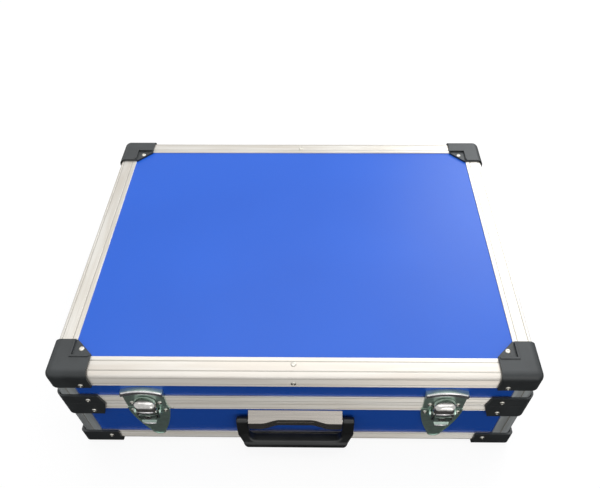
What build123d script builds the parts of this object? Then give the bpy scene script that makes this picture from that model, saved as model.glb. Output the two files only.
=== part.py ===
from build123d import *
from math import cos, pi, sin, sqrt
import os

# A digital logic trainer in an aluminium-framed carrying case. Millimetres.
# x runs to the right, y to the back and z up. While it is modelled, the case is centred on
# x = y = 0 and its lowest extrusion lies at z = 0. Each piece is then moved by ORIGIN, which
# puts the part's origin on the floor, under the middle of its whole outline.

# ---- Case: sizes over the aluminium extrusions -------------------------------------------
CASE_W = 460.0
CASE_D = 350.0
CASE_H = 138.0
LID_H = 53.0
SEAM_Z = CASE_H - LID_H  # where the lid meets the base
SEAM_GAP = 0.3
PANEL_T = 4.0  # skinned board
PANEL_FIT = 0.1

# ---- Aluminium extrusions ----------------------------------------------------------------
WALL = 1.5
EDGE_LEG = 20.0
EDGE_R = 6.0
LIP_T = 1.2  # lip behind the board
LIP_LEG = 14.0
RIM_H = 13.0
RIM_WEB = 3.5
TONGUE_IN = 3.0  # from the outer face to the tongue
TONGUE_T = 1.5
TONGUE_H = 2.5
TONGUE_FIT = 0.4
TONGUE_SWING = 1.0  # room behind the tongue for the lid to turn past it
MITRE_GAP = 0.05
CHANNEL = WALL + PANEL_T
CORE = CHANNEL + LIP_T

# ---- Black moulded corners ---------------------------------------------------------------
CAP_T = 2.2
CAP_LEG = 38.0
CAP_CHAMFER = 16.5
CAP_DROP = 21.0
CAP_R = 8.0
LOW_CAP_R = 3.5  # the lower corners are squarer
CAVITY_R = 4.0
LOW_CAP_DROP = 21.5
SEAT_AT = 20.0  # rivet seat, from the frame's outer faces
SEAT_DEPTH = 1.3
RIB_W = 2.0
RIB_H = 0.9
LIP_BEAD = 1.4
RIM_CORNER_T = 2.3
RIM_CORNER_LEG = 42.0
RIM_CORNER_SLANT = 4.0
LID_RIM_CORNER_H = 15.5
BASE_RIM_CORNER_H = 20.5

# ---- Rivets ------------------------------------------------------------------------------
RIVET_R = 2.7
RIVET_TOP_R = 1.7
RIVET_H = 1.1
HEAD_SIDES = 10
CAP_RIVET_AT = 27.5
SIDE_RIVET_AT = 29.0
SIDE_RIVET_DROP = 17.0
LOW_RIVET_Z = 13.0
RIM_RIVET_AT = 27.3
LID_RIM_RIVET_UP = 7.0
BASE_RIM_RIVET_DOWN = 13.5

# ---- Hinges ------------------------------------------------------------------------------
HINGE_X = 130.0
HINGE_W = 50.0
HINGE_KNUCKLES = 5
HINGE_GAP = 0.3
KNUCKLE_R = 2.6
HINGE_OUT = 3.2  # from the rear face to the hinge line
HINGE_PIN_R = 1.25
RUNNING_FIT = 0.05
LEAF_T = 1.2
LEAF_H = 13.0
LEAF_CLEAR = 0.4

# ---- Latches: heights are from the seam ----------------------------------------------------
LATCH_IN = 83.0  # from the case's side to a latch's middle
CATCH_LOW_Z = -5.5
CATCH_SHOULDER_Z = 24.0
CATCH_TOP_Z = 28.8
CATCH_LOW_W = 39.0
CATCH_TOP_W = 41.0
CATCH_OFF = 0.3  # in front of the frame
CATCH_T = 1.4
CATCH_BEAD_W = 7.5
CATCH_BEAD_T = 2.9
KEEPER_W = 14.0
KEEPER_T = 2.0
KEEPER_Z = 8.0
CATCH_RIVET_X = 13.6
CATCH_RIVET_Z = 2.0
SHIELD_TOP_Z = -6.5
SHIELD_W = 41.0
SHIELD_SHOULDER_Z = -14.0
SHIELD_WAIST_X = 15.0  # a point on the shield's curved side
SHIELD_WAIST_Z = -40.0
SHIELD_TIP_R = 7.0
SHIELD_TIP_Z = -68.0
SHIELD_T = 1.2  # in front of the frame
SHIELD_BEAD_W = 1.0
SHIELD_BEAD_T = 0.5
SHIELD_RIVET_X = 16.3
SHIELD_RIVET_Z = -14.0
PIVOT_OUT = 3.8
PIVOT_Z = -10.5
LATCH_PIN_R = 1.1
EAR_X = 11.6
EAR_T = 1.7
EAR_R = 3.3
EAR_FOOT_DROP = 9.0
LEVER_W = 16.4
LEVER_WALL = 1.4
LEVER_FACE = 9.2  # how far the lever's face stands out
LEVER_LIP_W = 12.8
LEVER_LOW_Z = -23.0
HOOK_PIVOT_OUT = 6.0
HOOK_PIVOT_Z = -17.5
TRUNNION_R = 1.3
RAIL_GAP = 0.4
RAIL_T = 1.7
RAIL_W = 3.4
DOME_LOW_Z = -5.0
DOME_TOP_Z = 16.0
DOME_BACK = 2.5
DOME_FACE = 9.9
DOME_R = 4.6
DOME_WALL = 1.6
LOCK_Z = -14.5
LOCK_R = 3.6
LOCK_FIT = 0.1
KEYWAY_W = 1.3
KEYWAY_H = 5.0
LOCK_PROUD = 0.7
LOCK_LENGTH = 4.4
CAM_T = 1.0
CAM_REACH = 4.4

# ---- Carrying handle: heights are from the seam --------------------------------------------
BRACKET_W = 96.0
BRACKET_TOP_Z = -18.5
BRACKET_OUT = 9.0
BRACKET_SLOPE = 9.0  # drop from the top to the front fold
BRACKET_LIP_H = 12.0
BRACKET_WALL = 1.5
BRACKET_SCOOP = 3.0  # how far the middle of the front is drawn in
SCOOP_FLAT_W = 30.0
SCOOP_END_W = 72.0
GRIP_W = 121.0
GRIP_GAP = 0.5  # between an arm and the bracket
GRIP_LOW_Z = -69.5
GRIP_TOP_Z = -57.5
GRIP_BACK = 6.0
GRIP_FRONT = 18.0
GRIP_FLAT_W = 99.0
GRIP_SHOULDER_Z = -49.5
ARM_FRONT = 9.0
ARM_BEND_Z = -48.0
HANDLE_PIVOT_OUT = 4.6
HANDLE_PIVOT_Z = -29.0
HANDLE_EYE_R = 5.0
HANDLE_PIN_R = 1.6
GRIP_MID_Z = -63.5
GRIP_BEND_R = 8.0
GRIP_CORNER_R = 2.5

# ---- Lid lining --------------------------------------------------------------------------
FOAM_T = 15.0
FOAM_MARGIN = 1.0  # from the lips behind the top board
SOFT_CLEAR = 0.3

# ---- Control panel -----------------------------------------------------------------------
DECK_T = 2.0
RAIL_BAR_W = 14.0
RAIL_BAR_H = 12.0
RAIL_MARGIN = 1.0  # from a rail's end to the corner posts
DECK_MARGIN = 1.1  # between the deck's edge and the rim
BARE_R = 3.0
DECK_SCREW_R = 2.8
DECK_SCREW_TOP_R = 1.6
DECK_SCREW_H = 1.8
BREADBOARD_L = 165.5
BREADBOARD_D = 54.6
BREADBOARD_H = 8.5
BREADBOARD_X = 84.5
BREADBOARD_Y = 12.0
CHANNEL_W = 3.0
CHANNEL_DEEP = 2.0
GROOVE_IN = 10.0
GROOVE_W = 1.0
GROOVE_DEEP = 0.8
TOGGLE_COUNT = 8
TOGGLE_PITCH = 21.0
TOGGLE_IN_X = 58.0  # from the case's left side to the first switch
TOGGLE_IN_Y = 63.0  # from the case's front
TOGGLE_TILT = 12.0
TOGGLE_BUSH_R = 3.0
TOGGLE_BUSH_H = 7.0
TOGGLE_PIVOT_UP = 4.0
TOGGLE_LEVER_UP = 12.5
TOGGLE_LEVER_R = 1.2
TOGGLE_TIP_R = 1.9
TOGGLE_BALL_R = 1.7
TOGGLE_BORE_R = 2.3
TOGGLE_NUT_AF = 8.0
TOGGLE_NUT_H = 2.0
TOGGLE_BODY = (8.0, 13.0, 10.0)
LAMP_R = 2.5
LAMP_RIM_R = 3.4
LAMP_H = 5.0
LAMP_BEHIND = 40.0  # from the switches to the lamps
DIGIT_W = 12.6
DIGIT_D = 19.0
DIGIT_H = 8.0
DIGIT_APART = 28.0
DIGIT_IN_Y = 83.0  # from the case's rear
BUTTON_PITCH = 33.0
BUTTON_IN_X = 162.0  # from the case's right side to the second button
BUTTON_R = 5.0
BUTTON_BARREL_R = 6.3
BUTTON_RIM_R = 7.5
BUTTON_FIT = 0.4
BUTTON_DEEP = 14.0
BUTTON_RIM_H = 3.0
BUTTON_UP = 7.0
BUTTON_UP_FROM = 1.0  # how far the cap starts below the panel's face
BUTTON_WELL = 5.0
BUTTON_CASE_WALL = 0.7
KNOB_IN_X = 90.0  # from the case's right side
KNOB_R = 11.0
KNOB_H = 14.0
KNOB_SKIRT_H = 3.0
KNOB_FLUTES = 12
KNOB_FLUTE_R = 1.3
SHAFT_R = 3.0
CONTROL_R = 8.0
CONTROL_H = 10.0
POST_IN_X = 164.0  # from the case's right side to the first post
POST_PITCH = 22.0
POST_COUNT = 6
POST_IN_Y = 57.0  # from the case's rear
POST_R = 5.5
POST_H = 16.0
POST_NUT_TOP = 13.0
POST_FLANGE_H = 3.0
STUD_R = 2.0
POST_TAIL = 6.0  # stud below the panel
INLET_IN_X = 80.0  # from the case's left side
INLET_IN_Y = 63.0  # from the case's rear
INLET_W = 78.0
INLET_D = 36.0
INLET_T = 2.4
INLET_DEPTH = 24.0
INLET_FLANGE = 3.0
SOCKET_W = 24.5
SOCKET_D = 16.5
SOCKET_DEPTH = 16.0
SOCKET_CHAMFER = 4.0
CONTACT_X = 7.0
CONTACT_Y = (-1.5, 2.5)
CONTACT_W = 4.0
CONTACT_T = 2.0
DRAWER_X = -5.5  # from the middle of the inlet's plate
DRAWER_W = 8.0
DRAWER_L = 16.0
DRAWER_LINE = 0.6
INLET_SIDE = 6.0  # from the plate's end to the socket or the rocker
ROCKER_W = 13.0
ROCKER_L = 19.0
ROCKER_TILT = 8.0
ROCKER_FIT = 0.5
ROCKER_ROOM = 12.0
ROCKER_STUB = 1.5
ROCKER_AXIS_Z = -1.5
STUB_R = 1.2
TRANSFORMER_IN_X = 170.0  # from the case's left side
TRANSFORMER_IN_Y = 70.0  # from the case's rear
CORE_W = 57.0
CORE_D = 32.0
CORE_H = 46.0
WINDING_IN = 10.0
WINDING_OUT = 9.0
WINDING_R = 6.0
FOOT_T = 1.5
FOOT_OUT = 14.0
FOOT_HOLE_AT = 8.0
FOOT_HOLE_R = 2.2

# ---- Where the origin lies ---------------------------------------------------------------
FRONT_REACH = GRIP_FRONT
REAR_REACH = HINGE_OUT + KNUCKLE_R
ORIGIN = Pos(0, (FRONT_REACH - REAR_REACH) / 2, CAP_T)

BASE_RIM_TOP = SEAM_Z - SEAM_GAP / 2
LID_RIM_LOW = SEAM_Z + SEAM_GAP / 2
DECK_LOW = BASE_RIM_TOP - RIM_H - PANEL_FIT
DECK_TOP = DECK_LOW + DECK_T
LATCH_X = CASE_W / 2 - LATCH_IN
TOGGLE_X = [TOGGLE_IN_X - CASE_W / 2 + TOGGLE_PITCH * i for i in range(TOGGLE_COUNT)]
TOGGLE_Y = TOGGLE_IN_Y - CASE_D / 2
LAMP_Y = TOGGLE_Y + LAMP_BEHIND
BUTTON_X = [CASE_W / 2 - BUTTON_IN_X - BUTTON_PITCH * i for i in (1, 0)]
KNOB_X = CASE_W / 2 - KNOB_IN_X
DIGIT_X = (-DIGIT_APART / 2, DIGIT_APART / 2)
DIGIT_Y = CASE_D / 2 - DIGIT_IN_Y
POST_X = [CASE_W / 2 - POST_IN_X + POST_PITCH * i for i in range(POST_COUNT)]
POST_Y = CASE_D / 2 - POST_IN_Y
INLET_X = INLET_IN_X - CASE_W / 2
INLET_Y = CASE_D / 2 - INLET_IN_Y
ROCKER_X = INLET_X - INLET_W / 2 + ROCKER_W / 2 + INLET_SIDE
TRANSFORMER_X = TRANSFORMER_IN_X - CASE_W / 2
TRANSFORMER_Y = CASE_D / 2 - TRANSFORMER_IN_Y


# ---- Shared shapes -----------------------------------------------------------------------
def block(x0, x1, y0, y1, z0, z1):
    """A box between two corners."""
    middle = Pos((x0 + x1) / 2, (y0 + y1) / 2, (z0 + z1) / 2)
    return middle * Box(x1 - x0, y1 - y0, z1 - z0)


def rect(x0, x1, y0, y1):
    """A rectangle between two corners."""
    return Pos((x0 + x1) / 2, (y0 + y1) / 2) * Rectangle(x1 - x0, y1 - y0)


def front_slab(sketch, out0, out1):
    """A sketch in x and z, made solid between two distances in front of the frame."""
    face = Plane(origin=(0, -out0, 0), x_dir=(1, 0, 0), z_dir=(0, -1, 0))
    return extrude(face * sketch, amount=out1 - out0)


def side_prism(points, half_width):
    """An outline of (distance in front of the frame, z), made solid across x."""
    outline = Polygon(*[(-out, z) for out, z in points], align=None)
    return extrude(Plane.YZ * outline, amount=half_width, both=True)


def cross_rod(out, z, x0, x1, radius):
    """A rod along x, at a distance in front of the frame."""
    return Pos((x0 + x1) / 2, -out, z) * Rot(0, 90, 0) * Cylinder(radius, x1 - x0)


def rounded(sketch, radius):
    """A sketch with its corner at the origin side rounded."""
    nearest = sketch.vertices().sort_by(lambda v: v.X - v.Y)[0]
    return fillet(nearest, radius)


def both_sides(shape):
    return [shape, mirror(shape, Plane.YZ)]


def four_corners(*shapes):
    """The front left pieces, with their likes at the other three corners."""
    fronts = [half for shape in shapes for half in both_sides(shape)]
    return fronts + [mirror(front, Plane.XZ) for front in fronts]


def to_front(shape):
    """From the latches' and handle's own frame to the seam at the front of the case."""
    return Pos(0, -CASE_D / 2, SEAM_Z) * shape


def at_latches(shape):
    return [Pos(x, 0, 0) * to_front(shape) for x in (-LATCH_X, LATCH_X)]


def ring_of_runs(profile, z):
    """Four mitred runs of a profile (inward, up) round the case."""
    runs = []
    for quarter in range(4):
        length, reach = (CASE_W, CASE_D / 2) if quarter % 2 == 0 else (CASE_D, CASE_W / 2)
        run = extrude(Plane.YZ * Pos(-reach, z) * profile, amount=length / 2, both=True)
        end = length / 2 - MITRE_GAP
        inner = 2 * EDGE_LEG
        outer_ends = [(-end, -reach), (end, -reach)]
        inner_ends = [(end - inner, inner - reach), (inner - end, inner - reach)]
        mitre = Polygon(*outer_ends, *inner_ends, align=None)
        plan = mitre & RectangleRounded(length, 2 * reach, EDGE_R)
        runs.append(Rot(0, 0, 90 * quarter) * (run & extrude(plan, amount=2 * CASE_H, both=True)))
    return runs


# ---- Aluminium extrusions ----------------------------------------------------------------
def edge_profile():
    """Legs along +x and -y from the outer corner, with lips that hold a board in each."""
    legs = rect(0, EDGE_LEG, -WALL, 0) + rect(0, WALL, -EDGE_LEG, 0)
    core = rect(0, CORE, -CORE, 0)
    lips = rect(CHANNEL, CORE, -LIP_LEG, -CORE) + rect(CORE, LIP_LEG, -CORE, -CHANNEL)
    return rounded(legs + core + lips, EDGE_R)


def top_edges():
    return ring_of_runs(edge_profile(), CASE_H)


def bottom_edges():
    return ring_of_runs(mirror(edge_profile(), Plane.XZ), 0)


def corner_posts(z0, z1):
    plan = Pos(-CASE_W / 2, -CASE_D / 2, z0) * mirror(edge_profile(), Plane.XZ)
    return four_corners(extrude(plan, amount=z1 - z0))


def base_rims():
    """Channel over the boards' upper edge, with the tongue that enters the lid."""
    wall = rect(0, WALL, -RIM_H, 0)
    lip = rect(CHANNEL, CORE, -RIM_H, 0)
    web = rect(0, CORE, -RIM_WEB, 0)
    tongue = rect(TONGUE_IN, TONGUE_IN + TONGUE_T, -1, TONGUE_H)
    return ring_of_runs(wall + lip + web + tongue, BASE_RIM_TOP)


def lid_rims():
    """Channel over the boards' lower edge, with the groove for the base's tongue."""
    groove_h = TONGUE_H + TONGUE_FIT
    wall = rect(0, WALL, 0, RIM_H)
    lip = rect(CHANNEL, CORE, 0, RIM_H)
    web = rect(0, CORE, 0, groove_h + WALL)
    groove = rect(TONGUE_IN - TONGUE_FIT, TONGUE_IN + TONGUE_T + TONGUE_SWING, -1, groove_h)
    return ring_of_runs(wall + lip + web - groove, LID_RIM_LOW)


# ---- Boards ------------------------------------------------------------------------------
def upright_boards(z0, z1):
    """The front, rear and side boards between two heights."""
    x_in = CASE_W / 2 - CORE - PANEL_FIT
    y_in = CASE_D / 2 - CORE - PANEL_FIT
    y_out = CASE_D / 2 - WALL
    x_out = CASE_W / 2 - WALL
    front = block(-x_in, x_in, -y_out, PANEL_T - y_out, z0, z1)
    left = block(-x_out, PANEL_T - x_out, -y_in, y_in, z0, z1)
    return front, mirror(front, Plane.XZ), both_sides(left)


def flat_board(z0):
    x_in = CASE_W / 2 - CORE - PANEL_FIT
    y_in = CASE_D / 2 - CORE - PANEL_FIT
    return block(-x_in, x_in, -y_in, y_in, z0, z0 + PANEL_T)


# ---- Black moulded corners ---------------------------------------------------------------
def outer_edges(solid):
    """The upright edge and the two top edges that meet at a cap's outer corner."""
    upright = solid.edges().filter_by(Axis.Z).sort_by(lambda e: e.center().X + e.center().Y)[0]
    top = solid.edges().group_by(Axis.Z)[-1]
    along_x = top.filter_by(Axis.X).sort_by(Axis.Y)[0]
    along_y = top.filter_by(Axis.Y).sort_by(Axis.X)[0]
    return [upright, along_x, along_y]


def corner_cap(drop, radius, ribbed):
    """Three-faced cap with its corner over the frame's top corner, which is at the origin."""
    shell = block(-CAP_T, CAP_LEG, -CAP_T, CAP_LEG, -drop, CAP_T)
    far = shell.edges().filter_by(Axis.Z).sort_by(lambda e: e.center().X + e.center().Y)[-1]
    shell = chamfer(far, CAP_CHAMFER)
    shell = fillet(outer_edges(shell), radius)
    past = CAP_LEG + 1
    room = block(0, past, 0, past, -drop - 1, 0)
    room = fillet(outer_edges(room), CAVITY_R)
    inside = EDGE_LEG + PANEL_FIT
    room -= block(inside, past + 1, inside, past + 1, PANEL_FIT - WALL, 1)
    cap = shell - room
    if ribbed:
        reach = CAP_LEG - LIP_BEAD
        start = SEAT_AT - RIB_W
        low = CAP_T - SEAT_DEPTH
        cap += block(start, reach, start, SEAT_AT, low, CAP_T + RIB_H)
        cap += block(start, SEAT_AT, start, reach, low, CAP_T + RIB_H)
    return cap - block(SEAT_AT, past, SEAT_AT, past, CAP_T - SEAT_DEPTH, CAP_T + 1)


def lid_top_corners():
    cap = Pos(-CASE_W / 2, -CASE_D / 2, CASE_H) * corner_cap(CAP_DROP, CAP_R, ribbed=True)
    return four_corners(cap)


def base_bottom_corners():
    cap = mirror(corner_cap(LOW_CAP_DROP, LOW_CAP_R, ribbed=False), Plane.XY)
    return four_corners(Pos(-CASE_W / 2, -CASE_D / 2, 0) * cap)


def rim_corner(z0, z1, leg0, leg1):
    """A wrap round an upright corner, whose two legs end on a slant."""
    size = max(leg0, leg1)
    skin = rect(-RIM_CORNER_T, size, -RIM_CORNER_T, size)
    skin = fillet(skin.vertices().sort_by(lambda v: v.X + v.Y)[0], CAP_R)
    room = rect(0, size + 1, 0, size + 1)
    room = fillet(room.vertices().sort_by(lambda v: v.X + v.Y)[0], CAVITY_R)
    sleeve = Pos(0, 0, z0) * extrude(skin - room, amount=z1 - z0)
    edge = Polygon((-2 * CAP_R, z0), (leg0, z0), (leg1, z1), (-2 * CAP_R, z1), align=None)
    face = Plane(origin=(0, CAP_R, 0), x_dir=(1, 0, 0), z_dir=(0, -1, 0))
    front = extrude(face * edge, amount=2 * CAP_R + RIM_CORNER_T)
    side = mirror(front, Plane(origin=(0, 0, 0), z_dir=(1, -1, 0)))
    return Pos(-CASE_W / 2, -CASE_D / 2, 0) * (sleeve & (front + side))


def lid_rim_corners():
    top = LID_RIM_LOW + LID_RIM_CORNER_H
    slanted = RIM_CORNER_LEG - RIM_CORNER_SLANT
    return four_corners(rim_corner(LID_RIM_LOW, top, RIM_CORNER_LEG, slanted))


def base_rim_corners():
    low = BASE_RIM_TOP - BASE_RIM_CORNER_H
    slanted = RIM_CORNER_LEG - 1.5 * RIM_CORNER_SLANT
    return four_corners(rim_corner(low, BASE_RIM_TOP, slanted, RIM_CORNER_LEG))


# ---- Rivets ------------------------------------------------------------------------------
FACING = {
    "up": Rot(0, 0, 0),
    "down": Rot(180, 0, 0),
    "front": Rot(90, 0, 0),
    "rear": Rot(-90, 0, 0),
    "left": Rot(0, -90, 0),
}


def stud_head(radius, top_radius, height):
    """Small raised head with flats round it, standing on z = 0."""
    low = RegularPolygon(radius, HEAD_SIDES)
    high = Pos(0, 0, height) * RegularPolygon(top_radius, HEAD_SIDES)
    return loft([low, high])


def rivet(x, y, z, facing):
    return Pos(x, y, z) * FACING[facing] * stud_head(RIVET_R, RIVET_TOP_R, RIVET_H)


def corner_rivets(at, z, proud):
    """The rivets on a corner piece's front and left faces, at all four corners."""
    x, y = -CASE_W / 2, -CASE_D / 2
    front = rivet(x + at, y - proud, z, "front")
    left = rivet(x - proud, y + at, z, "left")
    return four_corners(front, left)


def lid_rivets():
    x, y = CAP_RIVET_AT - CASE_W / 2, CAP_RIVET_AT - CASE_D / 2
    heads = four_corners(rivet(x, y, CASE_H + CAP_T - SEAT_DEPTH, "up"))
    heads += corner_rivets(SIDE_RIVET_AT, CASE_H - SIDE_RIVET_DROP, CAP_T)
    heads += corner_rivets(RIM_RIVET_AT, LID_RIM_LOW + LID_RIM_RIVET_UP, RIM_CORNER_T)
    heads += [rivet(0, s * (EDGE_LEG * 0.62 - CASE_D / 2), CASE_H, "up") for s in (1, -1)]
    heads += [rivet(0, -CASE_D / 2, CASE_H - EDGE_LEG * 0.72, "front")]
    heads += [rivet(0, CASE_D / 2, CASE_H - EDGE_LEG * 0.72, "rear")]
    catch = to_front(rivet(CATCH_RIVET_X, -CATCH_OFF - CATCH_T, CATCH_RIVET_Z, "front"))
    heads += [Pos(sx * LATCH_X, 0, 0) * head for sx in (-1, 1) for head in both_sides(catch)]
    heads += hinge_rivets(LID_RIM_LOW + LEAF_H * 0.6)
    return heads


def base_rivets():
    x, y = CAP_RIVET_AT - CASE_W / 2, CAP_RIVET_AT - CASE_D / 2
    heads = four_corners(rivet(x, y, SEAT_DEPTH - CAP_T, "down"))
    heads += corner_rivets(SIDE_RIVET_AT, LOW_RIVET_Z, CAP_T)
    heads += corner_rivets(RIM_RIVET_AT, BASE_RIM_TOP - BASE_RIM_RIVET_DOWN, RIM_CORNER_T)
    shield = to_front(rivet(SHIELD_RIVET_X, -SHIELD_T, SHIELD_RIVET_Z, "front"))
    heads += [Pos(sx * LATCH_X, 0, 0) * head for sx in (-1, 1) for head in both_sides(shield)]
    heads += hinge_rivets(BASE_RIM_TOP - LEAF_H * 0.6)
    return heads


# ---- Hinges ------------------------------------------------------------------------------
def hinge_spans(own):
    """The x spans of the base's knuckles (own 0) or the lid's (own 1)."""
    pitch = HINGE_W / HINGE_KNUCKLES
    starts = [pitch * i - HINGE_W / 2 for i in range(own, HINGE_KNUCKLES, 2)]
    return [(x + HINGE_GAP / 2, x + pitch - HINGE_GAP / 2) for x in starts]


def hinge_leaf(own, up):
    """A leaf that lies on the rear face, with its knuckles round the hinge line at z = 0."""
    near = KNUCKLE_R + LEAF_CLEAR
    z0, z1 = sorted((up * near, up * LEAF_H))
    leaf = block(-HINGE_W / 2, HINGE_W / 2, 0, LEAF_T, z0, z1)
    far_end = leaf.edges().filter_by(Axis.Y).group_by(Axis.Z)[-1 if up > 0 else 0]
    leaf = fillet(far_end, 2 * LEAF_T)
    bore = cross_rod(-HINGE_OUT, 0, -HINGE_W, HINGE_W, HINGE_PIN_R + RUNNING_FIT)
    for x0, x1 in hinge_spans(own):
        z0, z1 = sorted((0, up * near))
        leaf += block(x0, x1, 0, LEAF_T, z0, z1) + cross_rod(-HINGE_OUT, 0, x0, x1, KNUCKLE_R)
    return leaf - bore


def at_hinges(shape):
    return [Pos(x, CASE_D / 2, SEAM_Z) * shape for x in (-HINGE_X, HINGE_X)]


def hinge_pin():
    return cross_rod(-HINGE_OUT, 0, -HINGE_W / 2, HINGE_W / 2, HINGE_PIN_R)


def hinge_rivets(z):
    x = HINGE_W / 3
    y = CASE_D / 2 + LEAF_T
    return [rivet(sx * HINGE_X + dx, y, z, "rear") for sx in (-1, 1) for dx in (-x, x)]


# ---- Latches -----------------------------------------------------------------------------
def catch_plate():
    """Plate on the lid, arched and beaded at its top, with the keeper for the hook."""
    low, top = CATCH_LOW_W / 2, CATCH_TOP_W / 2

    def arched(drop):
        sides = Polyline((-top, CATCH_SHOULDER_Z - drop), (-low, CATCH_LOW_Z), (low, CATCH_LOW_Z))
        right = Line((low, CATCH_LOW_Z), (top, CATCH_SHOULDER_Z - drop))
        arch = ThreePointArc(
            (top, CATCH_SHOULDER_Z - drop), (0, CATCH_TOP_Z - drop), (-top, CATCH_SHOULDER_Z - drop)
        )
        return make_face([sides, right, arch])

    front = CATCH_OFF + CATCH_T
    plate = front_slab(arched(0), CATCH_OFF, front)
    bead = front_slab(arched(0) - arched(CATCH_BEAD_W), PANEL_FIT - WALL, CATCH_BEAD_T)
    half, low = KEEPER_W / 2, KEEPER_Z - KEEPER_T / 2
    keeper = block(-half, half, -front - 0.4, -CATCH_OFF, low, low + KEEPER_T)
    return plate + bead + keeper


def shield_outline():
    """Straight top with two shoulders, curved sides and a round tip."""
    centre = SHIELD_TIP_Z + SHIELD_TIP_R
    half = SHIELD_W / 2
    shoulder = (half, SHIELD_SHOULDER_Z)
    top = Polyline((-half, SHIELD_SHOULDER_Z), (-half, SHIELD_TOP_Z), (half, SHIELD_TOP_Z), shoulder)
    side = ThreePointArc(shoulder, (SHIELD_WAIST_X, SHIELD_WAIST_Z), (SHIELD_TIP_R, centre))
    tip = ThreePointArc((SHIELD_TIP_R, centre), (0, SHIELD_TIP_Z), (-SHIELD_TIP_R, centre))
    return make_face([top, side, tip, mirror(side, Plane.YZ)])


def latch_base_plate():
    """Beaded shield on the base, with the two ears that carry the lever's pin."""
    shield = shield_outline()
    plate = front_slab(shield, PANEL_FIT - WALL, SHIELD_T)
    bead = shield - offset(shield, -SHIELD_BEAD_W)
    plate += front_slab(bead, 0, SHIELD_T + SHIELD_BEAD_T)
    over_edge = block(-SHIELD_W, SHIELD_W, -PANEL_FIT, WALL, -SEAM_Z, EDGE_LEG + PANEL_FIT - SEAM_Z)
    over_rim = block(-SHIELD_W, SHIELD_W, -PANEL_FIT, WALL, DECK_LOW - SEAM_Z, SHIELD_TOP_Z + 1)
    plate -= over_edge + over_rim
    foot = [(-SHIELD_T + 0.5, PIVOT_Z - EAR_FOOT_DROP), (-SHIELD_T + 0.5, SHIELD_TOP_Z)]
    arm = Polygon(*foot, (-PIVOT_OUT, PIVOT_Z), (-PIVOT_OUT - EAR_R, PIVOT_Z - 1), align=None)
    eye = Pos(-PIVOT_OUT, PIVOT_Z) * (Circle(EAR_R) - Circle(LATCH_PIN_R))
    hole = Pos(-PIVOT_OUT, PIVOT_Z) * Circle(LATCH_PIN_R)
    ear = Pos(EAR_X, 0, 0) * extrude(Plane.YZ * (arm + eye - hole), amount=EAR_T)
    for side in both_sides(ear):
        plate += side
    return plate


def latch_pin():
    reach = EAR_X + EAR_T
    return cross_rod(PIVOT_OUT, PIVOT_Z, -reach, reach, LATCH_PIN_R)


def lever():
    """Pressed lever with its finger lip, the lock's hole and a trunnion on each side."""
    face = LEVER_FACE
    top = [(2.6, PIVOT_Z + 1.6), (6.5, PIVOT_Z + 1.9), (face + 0.6, PIVOT_Z + 1.4)]
    front = [(face, PIVOT_Z - 0.1), (face, LEVER_LOW_Z + 3.3)]
    lip = [(face + 2.6, LEVER_LOW_Z), (face + 1.7, LEVER_LOW_Z - 0.8), (face - 1.4, LEVER_LOW_Z + 1.3)]
    back = [(3.2, LEVER_LOW_Z + 2.4), (2.1, PIVOT_Z - 4.5)]
    body = side_prism(top + front + lip + back, LEVER_W / 2)
    inner = LEVER_W / 2 - LEVER_WALL
    body -= block(-inner, inner, LEVER_WALL - face, 0, LEVER_LOW_Z + 3.9, PIVOT_Z + 0.9)
    half, tip = LEVER_W / 2, LEVER_LIP_W / 2
    left = [(-half, PIVOT_Z + 5), (-half, HOOK_PIVOT_Z - TRUNNION_R), (-tip, LEVER_LOW_Z - 1)]
    taper = Polygon(*left, *[(-x, z) for x, z in reversed(left)], align=None)
    body &= front_slab(taper, 0, 2 * face)
    reach = LEVER_W / 2 + RAIL_GAP + RAIL_T
    trunnion = cross_rod(HOOK_PIVOT_OUT, HOOK_PIVOT_Z, inner, reach, TRUNNION_R)
    for side in both_sides(trunnion):
        body += side
    body -= cross_rod(PIVOT_OUT, PIVOT_Z, -LEVER_W, LEVER_W, LATCH_PIN_R + RUNNING_FIT)
    hole = Pos(0, -face, LOCK_Z) * Rot(90, 0, 0) * Cylinder(LOCK_R + LOCK_FIT, 4 * LEVER_WALL)
    return body - hole


def hook():
    """Domed claw over the catch plate, on two rails that run down beside the lever."""
    half = LEVER_W / 2 + RAIL_GAP + RAIL_T
    low = DOME_TOP_Z - half
    dome = make_face([
        Polyline((-half, low), (-half, DOME_LOW_Z), (half, DOME_LOW_Z), (half, low)),
        ThreePointArc((half, low), (0, DOME_TOP_Z), (-half, low)),
    ])
    shell = front_slab(dome, DOME_BACK, DOME_FACE)
    front = shell.faces().sort_by(Axis.Y)[0]
    shell = fillet(front.edges(), DOME_R)
    shell -= front_slab(offset(dome, -DOME_WALL), 0, DOME_FACE - 1.9 * DOME_WALL)
    spine = [(HOOK_PIVOT_OUT, HOOK_PIVOT_Z), (HOOK_PIVOT_OUT + 1.2, PIVOT_Z)]
    spine.append((DOME_BACK + 3.1 + RAIL_W / 2, DOME_LOW_Z + 1))
    back = [(RAIL_W / 2 - out, z) for out, z in spine]
    front = [(-RAIL_W / 2 - out, z) for out, z in reversed(spine)]
    rail = Polygon(*back, *front, align=None)
    eye = Pos(-HOOK_PIVOT_OUT, HOOK_PIVOT_Z) * Circle(RAIL_W / 2 + 0.5)
    hole = Pos(-HOOK_PIVOT_OUT, HOOK_PIVOT_Z) * Circle(TRUNNION_R + RUNNING_FIT)
    rail = Pos(half - RAIL_T, 0, 0) * extrude(Plane.YZ * (rail + eye - hole), amount=RAIL_T)
    for side in both_sides(rail):
        shell += side
    return shell


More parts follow.
